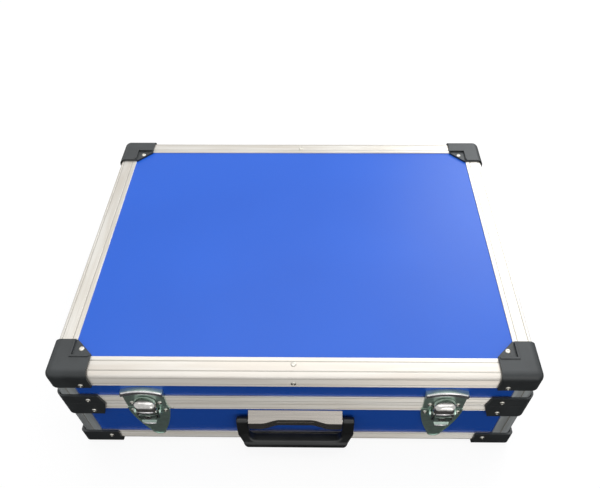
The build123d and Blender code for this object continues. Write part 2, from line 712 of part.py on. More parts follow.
def lock_cylinder():
    """Plug that turns with the key, with its keyway and the cam behind the lever's face."""
    front = LEVER_FACE + LOCK_PROUD
    plug = Pos(0, LOCK_LENGTH / 2 - front, LOCK_Z) * Rot(90, 0, 0) * Cylinder(LOCK_R, LOCK_LENGTH)
    half_w, half_h = KEYWAY_W / 2, KEYWAY_H / 2
    plug -= block(-half_w, half_w, -front - 1, 3 - front, LOCK_Z - half_h, LOCK_Z + half_h)
    rear = LOCK_LENGTH - front
    return plug + block(-1.5, 1.5, rear - CAM_T, rear, LOCK_Z - CAM_REACH, LOCK_Z)


# ---- Carrying handle ---------------------------------------------------------------------
def scoop(shift):
    """The bracket's front edge in plan: straight ends and a middle that is drawn in."""
    end = BRACKET_W / 2
    out = BRACKET_OUT - shift
    mid = out - BRACKET_SCOOP
    curve = Spline(
        (SCOOP_END_W / 2, -out), (SCOOP_FLAT_W / 2, -mid), tangents=((-1, 0), (-1, 0))
    )
    other = mirror(curve, Plane.YZ)
    flat = Line((SCOOP_FLAT_W / 2, -mid), (-SCOOP_FLAT_W / 2, -mid))
    corners = [(end, -out), (end, WALL), (-end, WALL), (-end, -out)]
    rest = Polyline((SCOOP_END_W / 2, -out), *corners, (-SCOOP_END_W / 2, -out))
    return make_face([curve, flat, other, rest])


def visor(shift):
    """Solid under the bracket's slope and inside its scooped front, drawn in by shift."""
    slope = BRACKET_SLOPE / (BRACKET_OUT + WALL)
    drop = shift * sqrt(1 + slope**2)
    plan = extrude(scoop(shift), amount=CASE_H, both=True)
    low = BRACKET_TOP_Z - BRACKET_SLOPE - BRACKET_LIP_H - 1
    wedge = [
        (-WALL, low), (-WALL, BRACKET_TOP_Z - drop),
        (BRACKET_OUT, BRACKET_TOP_Z - BRACKET_SLOPE - drop), (BRACKET_OUT, low),
    ]
    return plan & side_prism(wedge, BRACKET_W / 2 - shift)


def handle_bracket():
    """Sloped cover with a scooped lip, cheeks for the handle's pins and a back plate."""
    inner = visor(BRACKET_WALL) & block(-CASE_W, CASE_W, -CASE_D, 0.2, -CASE_H, CASE_H)
    body = visor(0) - inner
    rise = BRACKET_SCOOP * BRACKET_SLOPE / (BRACKET_OUT + WALL)
    low = BRACKET_TOP_Z - BRACKET_SLOPE - BRACKET_LIP_H
    flat, end = SCOOP_FLAT_W / 2, SCOOP_END_W / 2
    bend = Spline((flat, low + rise), (end, low), tangents=((1, 0), (1, 0)))
    middle = Line((-flat, low + rise), (flat, low + rise))
    below = low - CASE_H
    corners = [(BRACKET_W, low), (BRACKET_W, below), (-BRACKET_W, below), (-BRACKET_W, low)]
    rest = Polyline((end, low), *corners, (-end, low))
    arch = make_face([middle, bend, mirror(bend, Plane.YZ), rest])
    body -= front_slab(arch, 1, 2 * BRACKET_OUT)
    hole = cross_rod(HANDLE_PIVOT_OUT, HANDLE_PIVOT_Z, -BRACKET_W, BRACKET_W, HANDLE_PIN_R)
    return body - hole


def handle_pin():
    end = GRIP_W / 2 - 3
    start = BRACKET_W / 2 - BRACKET_WALL - 2
    return cross_rod(HANDLE_PIVOT_OUT, HANDLE_PIVOT_Z, start, end, HANDLE_PIN_R)


def handle_side():
    """The handle from the side: an eye, an arm that leans out, and the rounded grip."""
    arm_back = HANDLE_PIVOT_OUT - HANDLE_EYE_R + 0.8
    eye = Pos(-HANDLE_PIVOT_OUT, HANDLE_PIVOT_Z) * Circle(HANDLE_EYE_R - 0.8)
    back = [(-arm_back, HANDLE_PIVOT_Z), (-GRIP_BACK, GRIP_MID_Z)]
    low, knee = (-GRIP_FRONT + 0.4, GRIP_MID_Z), (-ARM_FRONT - 1.5, ARM_BEND_Z)
    front = [low, knee, (-ARM_FRONT, HANDLE_PIVOT_Z)]
    arm = Polygon(*back, *front, align=None)
    middle = (GRIP_BACK + GRIP_FRONT) / 2
    grip = Pos(-middle, GRIP_MID_Z) * Circle((GRIP_FRONT - GRIP_BACK) / 2)
    return arm + eye + grip


def carry_handle():
    """Moulded grip: a bowed outline crossed with the handle's side view."""
    half, flat = GRIP_W / 2, GRIP_FLAT_W / 2
    inner = BRACKET_W / 2 + GRIP_GAP
    top = HANDLE_PIVOT_Z + HANDLE_EYE_R
    left = [(-half, top), (-half, GRIP_SHOULDER_Z), (-flat, GRIP_LOW_Z)]
    right = [(-x, z) for x, z in reversed(left)]
    outline = Polygon(*left, *right, align=None)
    outline = fillet(outline.vertices().sort_by(Axis.Y)[:4], GRIP_CORNER_R)
    gap = rect(-inner, inner, GRIP_TOP_Z, top + 1)
    gap = fillet(gap.vertices().group_by(Axis.Y)[0], GRIP_BEND_R)
    front = front_slab(outline - gap, 0, GRIP_FRONT + 1)
    handle = front & extrude(Plane.YZ * handle_side(), amount=GRIP_W, both=True)
    radius = HANDLE_PIN_R + RUNNING_FIT
    bore = cross_rod(HANDLE_PIVOT_OUT, HANDLE_PIVOT_Z, inner - 1, half - 2.5, radius)
    for hole in both_sides(bore):
        handle -= hole
    return handle


# ---- Lid lining --------------------------------------------------------------------------
def lid_foam():
    """Sheet of foam under the top board, inside the lips that hold the board."""
    x = CASE_W / 2 - LIP_LEG - FOAM_MARGIN
    y = CASE_D / 2 - LIP_LEG - FOAM_MARGIN
    top = CASE_H - CHANNEL - SOFT_CLEAR
    pad = block(-x, x, -y, y, top - FOAM_T, top)
    return fillet(pad.edges().group_by(Axis.Z)[0], FOAM_T / 3)


# ---- Control panel -----------------------------------------------------------------------
def panel_support_rails():
    """Four bars against the base's boards, between the corner posts."""
    x = CASE_W / 2 - LIP_LEG - RAIL_MARGIN
    y = CASE_D / 2 - CHANNEL
    low = DECK_LOW - RAIL_BAR_H
    front = block(-x, x, -y, RAIL_BAR_W - y, low, DECK_LOW)
    outer = CASE_W / 2 - CHANNEL
    end = y - RAIL_BAR_W - PANEL_FIT
    left = block(-outer, RAIL_BAR_W - outer, -end, end, low, DECK_LOW)
    return [front, mirror(front, Plane.XZ)] + both_sides(left)


def deck_cutouts():
    """Every hole in the control panel, from the same places as what it holds."""
    holes = [Pos(x, TOGGLE_Y) * Circle(TOGGLE_BUSH_R) for x in TOGGLE_X]
    holes += [Pos(x, LAMP_Y) * Circle(LAMP_R) for x in TOGGLE_X]
    holes += [Pos(x, TOGGLE_Y) * Circle(BUTTON_BARREL_R) for x in BUTTON_X]
    holes += [Pos(x, POST_Y) * Circle(STUD_R) for x in POST_X]
    holes += [Pos(KNOB_X, TOGGLE_Y) * Circle(SHAFT_R)]
    holes += [Pos(x, DIGIT_Y) * Rectangle(DIGIT_W, DIGIT_D) for x in DIGIT_X]
    holes += [Pos(INLET_X, INLET_Y) * Rectangle(INLET_W - 2 * INLET_FLANGE, INLET_D - 2 * INLET_FLANGE)]
    return holes


def control_panel():
    x = CASE_W / 2 - CORE - DECK_MARGIN
    y = CASE_D / 2 - CORE - DECK_MARGIN
    plan = fillet(Rectangle(2 * x, 2 * y).vertices(), BARE_R)
    for hole in deck_cutouts():
        plan -= hole
    return Pos(0, 0, DECK_LOW) * extrude(plan, amount=DECK_T)


def panel_screws():
    x = CASE_W / 2 - CHANNEL - RAIL_BAR_W / 2
    y = CASE_D / 2 - CHANNEL - RAIL_BAR_W / 2
    head = Pos(0, 0, DECK_TOP) * stud_head(DECK_SCREW_R, DECK_SCREW_TOP_R, DECK_SCREW_H)
    return [Pos(i * x, j * y, 0) * head for i in (-1, 0, 1) for j in (-1, 1)]


def breadboard():
    """Socket board with its centre channel and the two grooves beside the supply rows."""
    board = Pos(0, 0, BREADBOARD_H / 2) * Box(BREADBOARD_L, BREADBOARD_D, BREADBOARD_H)
    board -= Pos(0, 0, BREADBOARD_H) * Box(BREADBOARD_L, CHANNEL_W, 2 * CHANNEL_DEEP)
    for side in (-1, 1):
        at = Pos(0, side * (BREADBOARD_D / 2 - GROOVE_IN), BREADBOARD_H)
        board -= at * Box(BREADBOARD_L, GROOVE_W, 2 * GROOVE_DEEP)
    return board


def breadboards():
    return [Pos(x, BREADBOARD_Y, DECK_TOP) * breadboard() for x in (-BREADBOARD_X, BREADBOARD_X)]


def toggle_body(x):
    """Threaded bush through the panel, its nut, and the switch's case below."""
    wide, deep, tall = TOGGLE_BODY
    case = block(-wide / 2, wide / 2, -deep / 2, deep / 2, -tall - DECK_T, -DECK_T)
    bush = Pos(0, 0, (TOGGLE_BUSH_H - DECK_T) / 2) * Cylinder(TOGGLE_BUSH_R, TOGGLE_BUSH_H + DECK_T)
    nut = extrude(RegularPolygon(TOGGLE_NUT_AF / 2, 6, major_radius=False), amount=TOGGLE_NUT_H)
    low = TOGGLE_PIVOT_UP - TOGGLE_BALL_R - 0.4
    bore = Pos(0, 0, low) * extrude(Circle(TOGGLE_BORE_R), amount=TOGGLE_BUSH_H)
    return Pos(x, TOGGLE_Y, DECK_TOP) * (case + bush + nut - bore)


def toggle_lever(x):
    """Lever that leans forward on its pivot, at the switch's off side."""
    stick = Pos(0, 0, TOGGLE_LEVER_UP / 2) * Cone(TOGGLE_LEVER_R, TOGGLE_TIP_R, TOGGLE_LEVER_UP)
    bat = stick + Cylinder(TOGGLE_BALL_R, TOGGLE_BALL_R)
    return Pos(x, TOGGLE_Y, DECK_TOP + TOGGLE_PIVOT_UP) * Rot(TOGGLE_TILT, 0, 0) * bat


def button_body(x):
    """Rim and barrel of a push button, with the case of its contacts below the panel."""
    rim = Pos(0, 0, BUTTON_RIM_H / 2) * Cylinder(BUTTON_RIM_R, BUTTON_RIM_H)
    barrel = Pos(0, 0, -DECK_T / 2) * Cylinder(BUTTON_BARREL_R, DECK_T)
    half = BUTTON_BARREL_R + BUTTON_CASE_WALL
    case = block(-half, half, -half, half, -BUTTON_DEEP, -DECK_T)
    well = Pos(0, 0, -BUTTON_WELL) * extrude(Circle(BUTTON_R + BUTTON_FIT), amount=BUTTON_DEEP)
    return Pos(x, TOGGLE_Y, DECK_TOP) * (rim + barrel + case - well)


def clock_control():
    """Body of the rotary control under the panel, with its shaft up through it."""
    shaft = Pos(0, 0, (KNOB_H - 2 - DECK_T) / 2) * Cylinder(SHAFT_R, KNOB_H - 2 + DECK_T)
    body = Pos(0, 0, -DECK_T - CONTROL_H / 2) * Cylinder(CONTROL_R, CONTROL_H)
    return Pos(KNOB_X, TOGGLE_Y, DECK_TOP) * (shaft + body)


def switch_bodies():
    toggles = [toggle_body(x) for x in TOGGLE_X]
    buttons = [button_body(x) for x in BUTTON_X]
    return toggles + buttons + [clock_control()]


def pulse_button(x):
    tall = BUTTON_UP + BUTTON_UP_FROM
    cap = Pos(0, 0, BUTTON_UP - tall / 2) * Cylinder(BUTTON_R, tall)
    cap = chamfer(cap.edges().group_by(Axis.Z)[-1], 0.6)
    return Pos(x, TOGGLE_Y, DECK_TOP) * cap


def clock_knob():
    """Fluted knob above a plain skirt, with a pointer line and a blind bore for its shaft."""
    knob = extrude(Circle(KNOB_R), amount=KNOB_H, taper=4)
    for index in range(KNOB_FLUTES):
        angle = 2 * pi * index / KNOB_FLUTES
        at = Pos(KNOB_R * cos(angle), KNOB_R * sin(angle), KNOB_SKIRT_H)
        knob -= at * extrude(Circle(KNOB_FLUTE_R), amount=KNOB_H)
    knob -= Cylinder(SHAFT_R + RUNNING_FIT, 2 * (KNOB_H - 1.8))
    knob -= block(-0.6, 0.6, KNOB_R / 3, KNOB_R, KNOB_H - 0.8, KNOB_H + 1)
    return Pos(KNOB_X, TOGGLE_Y, DECK_TOP + 1) * knob


def indicator_lamps():
    """Lamps that pass through the panel, each with a low rim and a tapered lens."""
    tall = LAMP_H + DECK_T + 3
    lamp = Pos(0, 0, LAMP_H - tall / 2) * Cylinder(LAMP_R, tall)
    lamp = chamfer(lamp.edges().group_by(Axis.Z)[-1], LAMP_R / 2)
    lamp += Pos(0, 0, 0.5) * Cylinder(LAMP_RIM_R, 1)
    return [Pos(x, LAMP_Y, DECK_TOP) * lamp for x in TOGGLE_X]


def digit_displays():
    body = Pos(0, 0, DIGIT_H / 2 - DECK_T) * Box(DIGIT_W, DIGIT_D, DIGIT_H)
    return [Pos(x, DIGIT_Y, DECK_TOP) * body for x in DIGIT_X]


def terminal_posts():
    """Flanged posts, each with a thumb nut over the gap that grips a wire, and its stud."""
    nut_low = POST_FLANGE_H + 1
    flange = Pos(0, 0, POST_FLANGE_H / 2) * Cylinder(POST_R, POST_FLANGE_H)
    nut = Pos(0, 0, (nut_low + POST_NUT_TOP) / 2) * Cylinder(POST_R, POST_NUT_TOP - nut_low)
    low = -DECK_T - POST_TAIL
    stud = Pos(0, 0, (low + POST_H) / 2) * Cylinder(STUD_R, POST_H - low)
    return [Pos(x, POST_Y, DECK_TOP) * (flange + nut + stud) for x in POST_X]


def mains_inlet():
    """Inlet socket, fuse drawer and the rocker's frame on one plate."""
    plate = Pos(0, 0, INLET_T / 2) * Box(INLET_W, INLET_D, INLET_T)
    wide, deep = INLET_W - 2 * INLET_FLANGE, INLET_D - 2 * INLET_FLANGE
    module = plate + Pos(0, 0, -INLET_DEPTH / 2) * Box(wide, deep, INLET_DEPTH)
    socket = Rectangle(SOCKET_W, SOCKET_D)
    socket = chamfer(socket.vertices().group_by(Axis.Y)[-1], SOCKET_CHAMFER)
    at = Pos(INLET_W / 2 - SOCKET_W / 2 - INLET_SIDE, 1, INLET_T - SOCKET_DEPTH)
    module -= at * extrude(socket, amount=SOCKET_DEPTH + 1)
    low, high = CONTACT_Y
    for x, y in ((-CONTACT_X, low), (CONTACT_X, low), (0, high)):
        module += at * Pos(x, y) * extrude(Rectangle(CONTACT_W, CONTACT_T), amount=SOCKET_DEPTH - 3)
    drawer = Rectangle(DRAWER_W, DRAWER_L)
    groove = extrude(drawer - offset(drawer, -DRAWER_LINE), amount=2 * DRAWER_LINE, both=True)
    module -= Pos(DRAWER_X, 0, INLET_T + DRAWER_LINE) * groove
    rocker_at = Pos(ROCKER_X - INLET_X, 0, INLET_T - ROCKER_ROOM)
    window = Rectangle(ROCKER_W + 2 * ROCKER_FIT, ROCKER_L + 2 * ROCKER_FIT)
    module -= rocker_at * extrude(window, amount=ROCKER_ROOM + 1)
    reach = ROCKER_W / 2 + ROCKER_STUB + ROCKER_FIT
    bearing = cross_rod(0, ROCKER_AXIS_Z, -reach, reach, STUB_R + RUNNING_FIT)
    module -= Pos(ROCKER_X - INLET_X, 0, 0) * bearing
    return Pos(INLET_X, INLET_Y, DECK_TOP) * module


def power_rocker():
    """Rocker whose two faces slope to its middle, on a stub at each side."""
    half = ROCKER_L / 2 - 0.6
    upper = [(-half, 5.4), (0, 3.0), (half, 5.4)]
    lower = [(half, -2), (2, -4), (-2, -4), (-half, -2)]
    rocker = extrude(Plane.YZ * Polygon(*upper, *lower, align=None), amount=ROCKER_W / 2, both=True)
    reach = ROCKER_W / 2 + ROCKER_STUB
    rocker += cross_rod(0, 0, -reach, reach, STUB_R)
    return Pos(ROCKER_X, INLET_Y, DECK_TOP + ROCKER_AXIS_Z) * Rot(ROCKER_TILT, 0, 0) * rocker


def power_transformer():
    """Laminated core on end, with the winding through its windows and a foot."""
    floor = WALL + PANEL_T
    x, y = CORE_W / 2, CORE_D / 2
    core = block(-x, x, -y, y, floor + FOOT_T, floor + CORE_H)
    wide, deep = x - WINDING_IN, y + WINDING_OUT
    wound = block(-wide, wide, -deep, deep, floor + WINDING_IN, floor + CORE_H - WINDING_OUT)
    wound = fillet(wound.edges().filter_by(Axis.Z), WINDING_R)
    foot = block(-x - FOOT_OUT, x + FOOT_OUT, -y, y, floor, floor + FOOT_T)
    for side in (-1, 1):
        foot -= Pos(side * (x + FOOT_HOLE_AT), 0, floor) * Cylinder(FOOT_HOLE_R, 4 * FOOT_T)
    return Pos(TRANSFORMER_X, TRANSFORMER_Y, 0) * (core + wound + foot)


# ---- Writing -----------------------------------------------------------------------------
def pieces():
    lid_low, lid_high = LID_RIM_LOW + TONGUE_H + TONGUE_FIT + WALL, CASE_H - CORE
    base_low, base_high = CORE, BASE_RIM_TOP - RIM_WEB
    lid_front, lid_rear, lid_sides = upright_boards(lid_low + PANEL_FIT, lid_high - PANEL_FIT)
    base_front, base_rear, base_sides = upright_boards(base_low + PANEL_FIT, base_high - PANEL_FIT)
    named = {
        "lid_top_panel": flat_board(CASE_H - CHANNEL),
        "lid_front_panel": lid_front,
        "lid_rear_panel": lid_rear,
        "lid_side_panels": lid_sides,
        "lid_edge_extrusions": top_edges(),
        "lid_corner_posts": corner_posts(LID_RIM_LOW + RIM_H + PANEL_FIT, CASE_H - EDGE_LEG - PANEL_FIT),
        "lid_rim_extrusions": lid_rims(),
        "lid_top_corners": lid_top_corners(),
        "lid_rim_corners": lid_rim_corners(),
        "lid_rivets": lid_rivets(),
        "lid_foam": lid_foam(),
        "lid_hinge_leaves": at_hinges(hinge_leaf(1, 1)),
        "latch_catch_plates": at_latches(catch_plate()),
        "base_bottom_panel": flat_board(WALL),
        "base_front_panel": base_front,
        "base_rear_panel": base_rear,
        "base_side_panels": base_sides,
        "base_edge_extrusions": bottom_edges(),
        "base_corner_posts": corner_posts(EDGE_LEG + PANEL_FIT, BASE_RIM_TOP - RIM_H - PANEL_FIT),
        "base_rim_extrusions": base_rims(),
        "base_bottom_corners": base_bottom_corners(),
        "base_rim_corners": base_rim_corners(),
        "base_rivets": base_rivets(),
        "base_hinge_leaves": at_hinges(hinge_leaf(0, -1)),
        "hinge_pins": at_hinges(hinge_pin()),
        "latch_base_plates": at_latches(latch_base_plate()),
        "latch_pivot_pins": at_latches(latch_pin()),
        "handle_bracket": to_front(handle_bracket()),
        "handle_pins": both_sides(to_front(handle_pin())),
        "carry_handle": to_front(carry_handle()),
        "panel_support_rails": panel_support_rails(),
        "control_panel": control_panel(),
        "panel_screws": panel_screws(),
        "breadboards": breadboards(),
        "switch_bodies": switch_bodies(),
        "clock_knob": clock_knob(),
        "indicator_lamps": indicator_lamps(),
        "digit_displays": digit_displays(),
        "terminal_posts": terminal_posts(),
        "mains_inlet": mains_inlet(),
        "power_rocker": power_rocker(),
        "power_transformer": power_transformer(),
    }
    for side, x in (("left", -LATCH_X), ("right", LATCH_X)):
        named[f"{side}_latch_lever"] = Pos(x, 0, 0) * to_front(lever())
        named[f"{side}_latch_hook"] = Pos(x, 0, 0) * to_front(hook())
        named[f"{side}_lock_cylinder"] = Pos(x, 0, 0) * to_front(lock_cylinder())
    for number, x in enumerate(TOGGLE_X, start=1):
        named[f"toggle_lever_{number}"] = toggle_lever(x)
    for number, x in enumerate(BUTTON_X, start=1):
        named[f"pulse_button_{number}"] = pulse_button(x)
    return named


def write(name, made):
    """One STEP file for a node, from one shape or a list of them."""
    shapes = made if isinstance(made, list) else [made]
    solids = [ORIGIN * solid for shape in shapes for solid in shape.solids()]
    node = Compound(children=solids) if len(solids) > 1 else solids[0]
    node.label = name
    export_step(node, f"parts/{name}.step")


os.makedirs("parts", exist_ok=True)
for node_name, node_shape in pieces().items():
    write(node_name, node_shape)
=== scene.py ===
from math import cos, pi, radians, sin

import bmesh
import bpy
from mathutils import Matrix, Vector


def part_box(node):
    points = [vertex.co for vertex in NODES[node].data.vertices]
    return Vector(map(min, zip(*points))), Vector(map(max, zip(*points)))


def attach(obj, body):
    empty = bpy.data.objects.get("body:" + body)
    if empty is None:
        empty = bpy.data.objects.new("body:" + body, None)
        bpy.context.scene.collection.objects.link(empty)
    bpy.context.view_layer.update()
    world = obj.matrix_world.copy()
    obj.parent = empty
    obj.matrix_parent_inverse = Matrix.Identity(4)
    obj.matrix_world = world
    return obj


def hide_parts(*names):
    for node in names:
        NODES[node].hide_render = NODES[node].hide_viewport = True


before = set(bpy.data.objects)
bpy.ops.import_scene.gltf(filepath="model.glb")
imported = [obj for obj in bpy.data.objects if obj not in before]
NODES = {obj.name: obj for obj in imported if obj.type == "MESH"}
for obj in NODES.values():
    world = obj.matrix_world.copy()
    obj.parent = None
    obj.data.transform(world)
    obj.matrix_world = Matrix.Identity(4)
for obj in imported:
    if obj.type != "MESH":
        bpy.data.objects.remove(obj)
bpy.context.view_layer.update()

# The case's own frame: millimetres, centred on the case, z = 0 under the lowest extrusion.
CASE_W, CASE_D = 460.0, 350.0
FRONT = -CASE_D / 2
SHIFT = Vector((0.0, 6.1, 2.2))  # from the case's frame to the scene's
SEAM_Z = 85.0
LID_EDGE_LOW = 118.0  # foot of the lid's edge extrusion
FOAM_LOW = 117.2  # tips of the foam's peaks
DECK_TOP = 73.75  # upper face of the control panel
LATCH_X = 147.0  # each latch, to either side of the middle

# The control panel's layout, in the same frame.
HOLE_PITCH = 2.54
BOARD_X, BOARD_Y = 84.5, 12.0  # each breadboard's middle
TOGGLE_X = [-172.0 + 21.0 * i for i in range(8)]
POST_X = [66.0 + 22.0 * i for i in range(6)]
POST_SIGN_Y = 129
KNOB_X, KNOB_Y = 140, -112
KNOB_TICKS, KNOB_FIRST, KNOB_STEP = 11, -140, 28  # how many, and degrees
DISPLAY_X, DISPLAY_Y, DISPLAY_RISE = 14.0, 92, 6.0

# Aluminium: grooves by height and by distance in from the case's side, and the crown of its walls.
GROOVE_HEIGHTS = (3.0, 17.0, 74.5, 82.0, 88.0, 95.5, 121.5, 131.5)
GROOVES_INWARD = (5.0, 15.5)
POST_GROOVE = 11.0
CROWN_SLOPE = 0.72
POST_CROWN_SLOPE = 0.6 * CROWN_SLOPE
LID_EDGE_SLOPE = 0.30

# Light, as shares of white. The floor and sky are white only to the eye.
FLOOR_TONE = 0.07
FLOOR_IN_GLOSS = 0.02
SHADOW_TONE = 0.16
FLOOR_WHITE = 1.05
HORIZON_LIGHT = 0.27
ZENITH_LIGHT = 0.40


def spot(x, y, z):
    """A point of the case's own frame, in the scene's metres."""
    return (Vector((x, y, z)) + SHIFT) / 1000


# ---- Shader maths --------------------------------------------------------------------------
class Signal:
    """A value that varies over a surface, which Python's operators do maths on."""

    def __init__(self, finish, socket):
        self.finish = finish
        self.socket = socket

    def __add__(self, other):
        return self.finish.maths("ADD", self, other)

    def __sub__(self, other):
        return self.finish.maths("SUBTRACT", self, other)

    def __rsub__(self, other):
        return self.finish.maths("SUBTRACT", other, self)

    def __mul__(self, other):
        return self.finish.maths("MULTIPLY", self, other)

    def __mod__(self, other):
        return self.finish.maths("FLOORED_MODULO", self, other)

    def __gt__(self, other):
        return self.finish.maths("GREATER_THAN", self, other)

    def __lt__(self, other):
        return self.finish.maths("LESS_THAN", self, other)

    def __abs__(self):
        return self.finish.maths("ABSOLUTE", self)

    __radd__ = __add__
    __rmul__ = __mul__


class Finish:
    """The nodes of a material or of the sky."""

    def __init__(self, owner, place="Object"):
        owner.use_nodes = True
        self.owner = owner
        self.tree = owner.node_tree
        self.tree.nodes.clear()
        self.place = self.add("ShaderNodeTexCoord", out=place)

    def add(self, kind, settings=None, inputs=None, out=0):
        """One node: its type, its settings, its sockets' values or links, and the output to use."""
        node = self.tree.nodes.new(kind)
        for name, value in (settings or {}).items():
            setattr(node, name, value)
        for name, value in (inputs or {}).items():
            if isinstance(value, Signal):
                self.tree.links.new(value.socket, node.inputs[name])
            else:
                node.inputs[name].default_value = value
        return Signal(self, node.outputs[out] if node.outputs else None)

    def maths(self, operation, *values):
        return self.add("ShaderNodeMath", {"operation": operation}, dict(enumerate(values)))

    def axis(self, name, source=None):
        return self.add("ShaderNodeSeparateXYZ", None, {0: source or self.place}, name)

    def case_place(self):
        """Millimetres in the case's own frame."""
        return [self.axis(name) * 1000 - shift for name, shift in zip("XYZ", SHIFT)]

    def noise(self, scale, stretch=(1, 1, 1), detail=2.0):
        """Noise from 0 to 1, with about `scale` lumps to the metre along an axis of stretch 1."""
        place = self.add("ShaderNodeMapping", None, {"Vector": self.place, "Scale": stretch})
        return self.add("ShaderNodeTexNoise", None, {"Vector": place, "Scale": scale, "Detail": detail})

    def fade(self, signal, low, high):
        """0 up to low, 1 from high on, and smooth between them."""
        settings = {"interpolation_type": "SMOOTHSTEP"}
        return self.add("ShaderNodeMapRange", settings, {0: signal, 1: low, 2: high})

    def groove(self, across, centre, half_width):
        """1 on the surface and 0 along a line."""
        return self.fade(abs(across - centre), half_width * 0.3, half_width)

    def mix(self, factor, first, second):
        """The first colour where factor is 0, the second where it is 1."""
        return self.add("ShaderNodeMix", {"data_type": "RGBA"}, {0: factor, 6: first, 7: second}, 2)

    def choose(self, factor, first, second):
        """The first value where factor is 0, the second where it is 1."""
        return factor * (second - first) + first

    def surface(self, colour, roughness, height=None, depth=0.0, edge=0.0, fixed=None):
        """The shader: colour, roughness, bumps of a depth in metres, and softened edges."""
        inputs = {"Base Color": colour, "Roughness": roughness, **(fixed or {})}
        if edge:
            inputs["Normal"] = self.add("ShaderNodeBevel", {"samples": 4}, {"Radius": edge})
        if height:
            bump = {"Height": height, "Distance": depth}
            if edge:
                bump["Normal"] = inputs["Normal"]
            inputs["Normal"] = self.add("ShaderNodeBump", None, bump)
        return self.done(self.add("ShaderNodeBsdfPrincipled", None, inputs))

    def blend(self, factor, first, second):
        """The first shader where factor is 0, the second where it is 1."""
        return self.add("ShaderNodeMixShader", None, {0: factor, 1: first, 2: second})

    def shown(self, plain, white, in_gloss):
        """White to the camera and through glass, and in part in gloss; plain as a light."""
        camera, gloss, glass = [self.add("ShaderNodeLightPath", out=f"Is {ray} Ray")
                                for ray in ("Camera", "Glossy", "Transmission")]
        return self.blend(camera + glass + gloss * in_gloss, plain, white)

    def done(self, shader, output="ShaderNodeOutputMaterial"):
        self.add(output, None, {"Surface": shader})
        return self.owner


def new_finish(name):
    return Finish(bpy.data.materials.new(name))


def rgb(red, green, blue):
    return (red, green, blue, 1.0)


def scaled(colour, factor, lift=0.0):
    """A brighter or darker shade of a colour."""
    return tuple(min(1.0, channel * factor + lift) for channel in colour[:3]) + (1.0,)


# ---- Materials -----------------------------------------------------------------------------
def blue_laminate():
    """Smooth plastic skin on board: an even blue, with faint waves and fine scuffs."""
    f = new_finish("blue_laminate")
    wave = f.noise(9, detail=1)
    scuff = f.fade(f.noise(60, (1, 9, 1), 4), 0.62, 0.72)
    colour = f.mix(wave, rgb(0.010, 0.118, 0.69), rgb(0.014, 0.140, 0.78))
    peel = f.noise(900, detail=1) * 0.25 + wave
    return f.surface(colour, 0.36 + 0.1 * scuff, peel, 0.00012, 0.0006, {"Specular IOR Level": 0.4})


def satin_aluminium(name="satin_aluminium", upright=False):
    """Anodised extrusion: crowned walls, shallow grooves and fine die lines along its length."""
    f = new_finish(name)
    x, y, z = f.case_place()
    to_side, to_front = CASE_W / 2 - abs(x), CASE_D / 2 - abs(y)
    if upright:
        fine, broad = f.noise(30, (40, 40, 1), 3), f.noise(12, (12, 12, 1), 1)
        tone = f.fade(broad, 0.3, 0.7)
        metal = f.mix(tone, rgb(0.52, 0.55, 0.55), rgb(0.60, 0.64, 0.65))
        grooves = f.groove(to_side, POST_GROOVE, 0.7) * f.groove(to_front, POST_GROOVE, 0.7)
        crown = z * -POST_CROWN_SLOPE
    else:
        side_run = to_front > to_side
        fine = f.choose(side_run, f.noise(30, (1, 40, 40), 3), f.noise(30, (40, 1, 40), 3))
        broad = f.choose(side_run, f.noise(12, (1, 14, 14), 1), f.noise(12, (14, 1, 14), 1))
        tone = f.fade(broad, 0.3, 0.7)
        # A lit and a darker copy of the aluminium: the lid edge's front run takes the darker one,
        # painted shade.
        plain = f.mix(tone, rgb(0.575, 0.54, 0.485), rgb(0.635, 0.615, 0.575))
        shaded = f.mix(tone, rgb(0.48, 0.445, 0.40), rgb(0.53, 0.505, 0.465))
        lid_front_painted_shade = (z > LID_EDGE_LOW) * (1 - f.fade(y, FRONT + 4, FRONT + 24))
        metal = f.mix(lid_front_painted_shade, plain, shaded)
        inward = f.maths("MINIMUM", to_side, to_front)
        grooves = f.groove(z, GROOVE_HEIGHTS[0], 0.6)
        for height in GROOVE_HEIGHTS[1:]:
            grooves = grooves * f.groove(z, height, 0.6)
        for distance in GROOVES_INWARD:
            grooves = grooves * f.groove(inward, distance, 0.6)
        up_lid_edge = f.maths("MAXIMUM", z - LID_EDGE_LOW, 0.0)
        crown = z * -CROWN_SLOPE - up_lid_edge * LID_EDGE_SLOPE
    # The grooves take a darker colour: painted shade in them.
    colour = f.mix(grooves, rgb(0.45, 0.43, 0.38), metal)
    rough = 0.30 + 0.12 * fine + 0.06 * tone
    relief = grooves * 0.36 + fine * 0.10 + crown
    return f.surface(colour, rough, relief, 0.001, 0.0005, {"Metallic": 0.86})


def moulded_plastic(name, colour, dull, grain=0.00005):
    """Injection-moulded plastic with a fine spark-eroded grain."""
    f = new_finish(name)
    grains = f.noise(2600, detail=1)
    cloud = f.noise(45, detail=3)
    shade = f.mix(f.fade(cloud, 0.3, 0.75), colour, scaled(colour, 1.35, 0.004))
    return f.surface(shade, dull + 0.12 * cloud, grains, grain, 0.0006)


def bright_plate(name, colour, dull, wear=0.10, stretch=(1, 1, 2)):
    """Plated steel, a little duller and darker in scattered smears."""
    f = new_finish(name)
    smear = f.noise(160, stretch, 3)
    shade = f.mix(f.fade(smear, 0.35, 0.7), colour, scaled(colour, 0.86))
    return f.surface(shade, dull + wear * smear, smear, 0.00006, 0.0004, {"Metallic": 1.0})


def dome_chrome():
    """Chrome pressed to a dome, whose shading leans further back the higher it is."""
    f = new_finish("dome_chrome")
    up = f.case_place()[2] - (SEAM_Z - 7)
    smear = f.noise(220, detail=3)
    colour = rgb(0.52, 0.51, 0.49)
    shade = f.mix(f.fade(smear, 0.35, 0.7), colour, scaled(colour, 0.82))
    crown = up * up * -0.024 + smear * 0.12
    return f.surface(shade, 0.13 + 0.1 * smear, crown, 0.001, 0.0004, {"Metallic": 1.0})


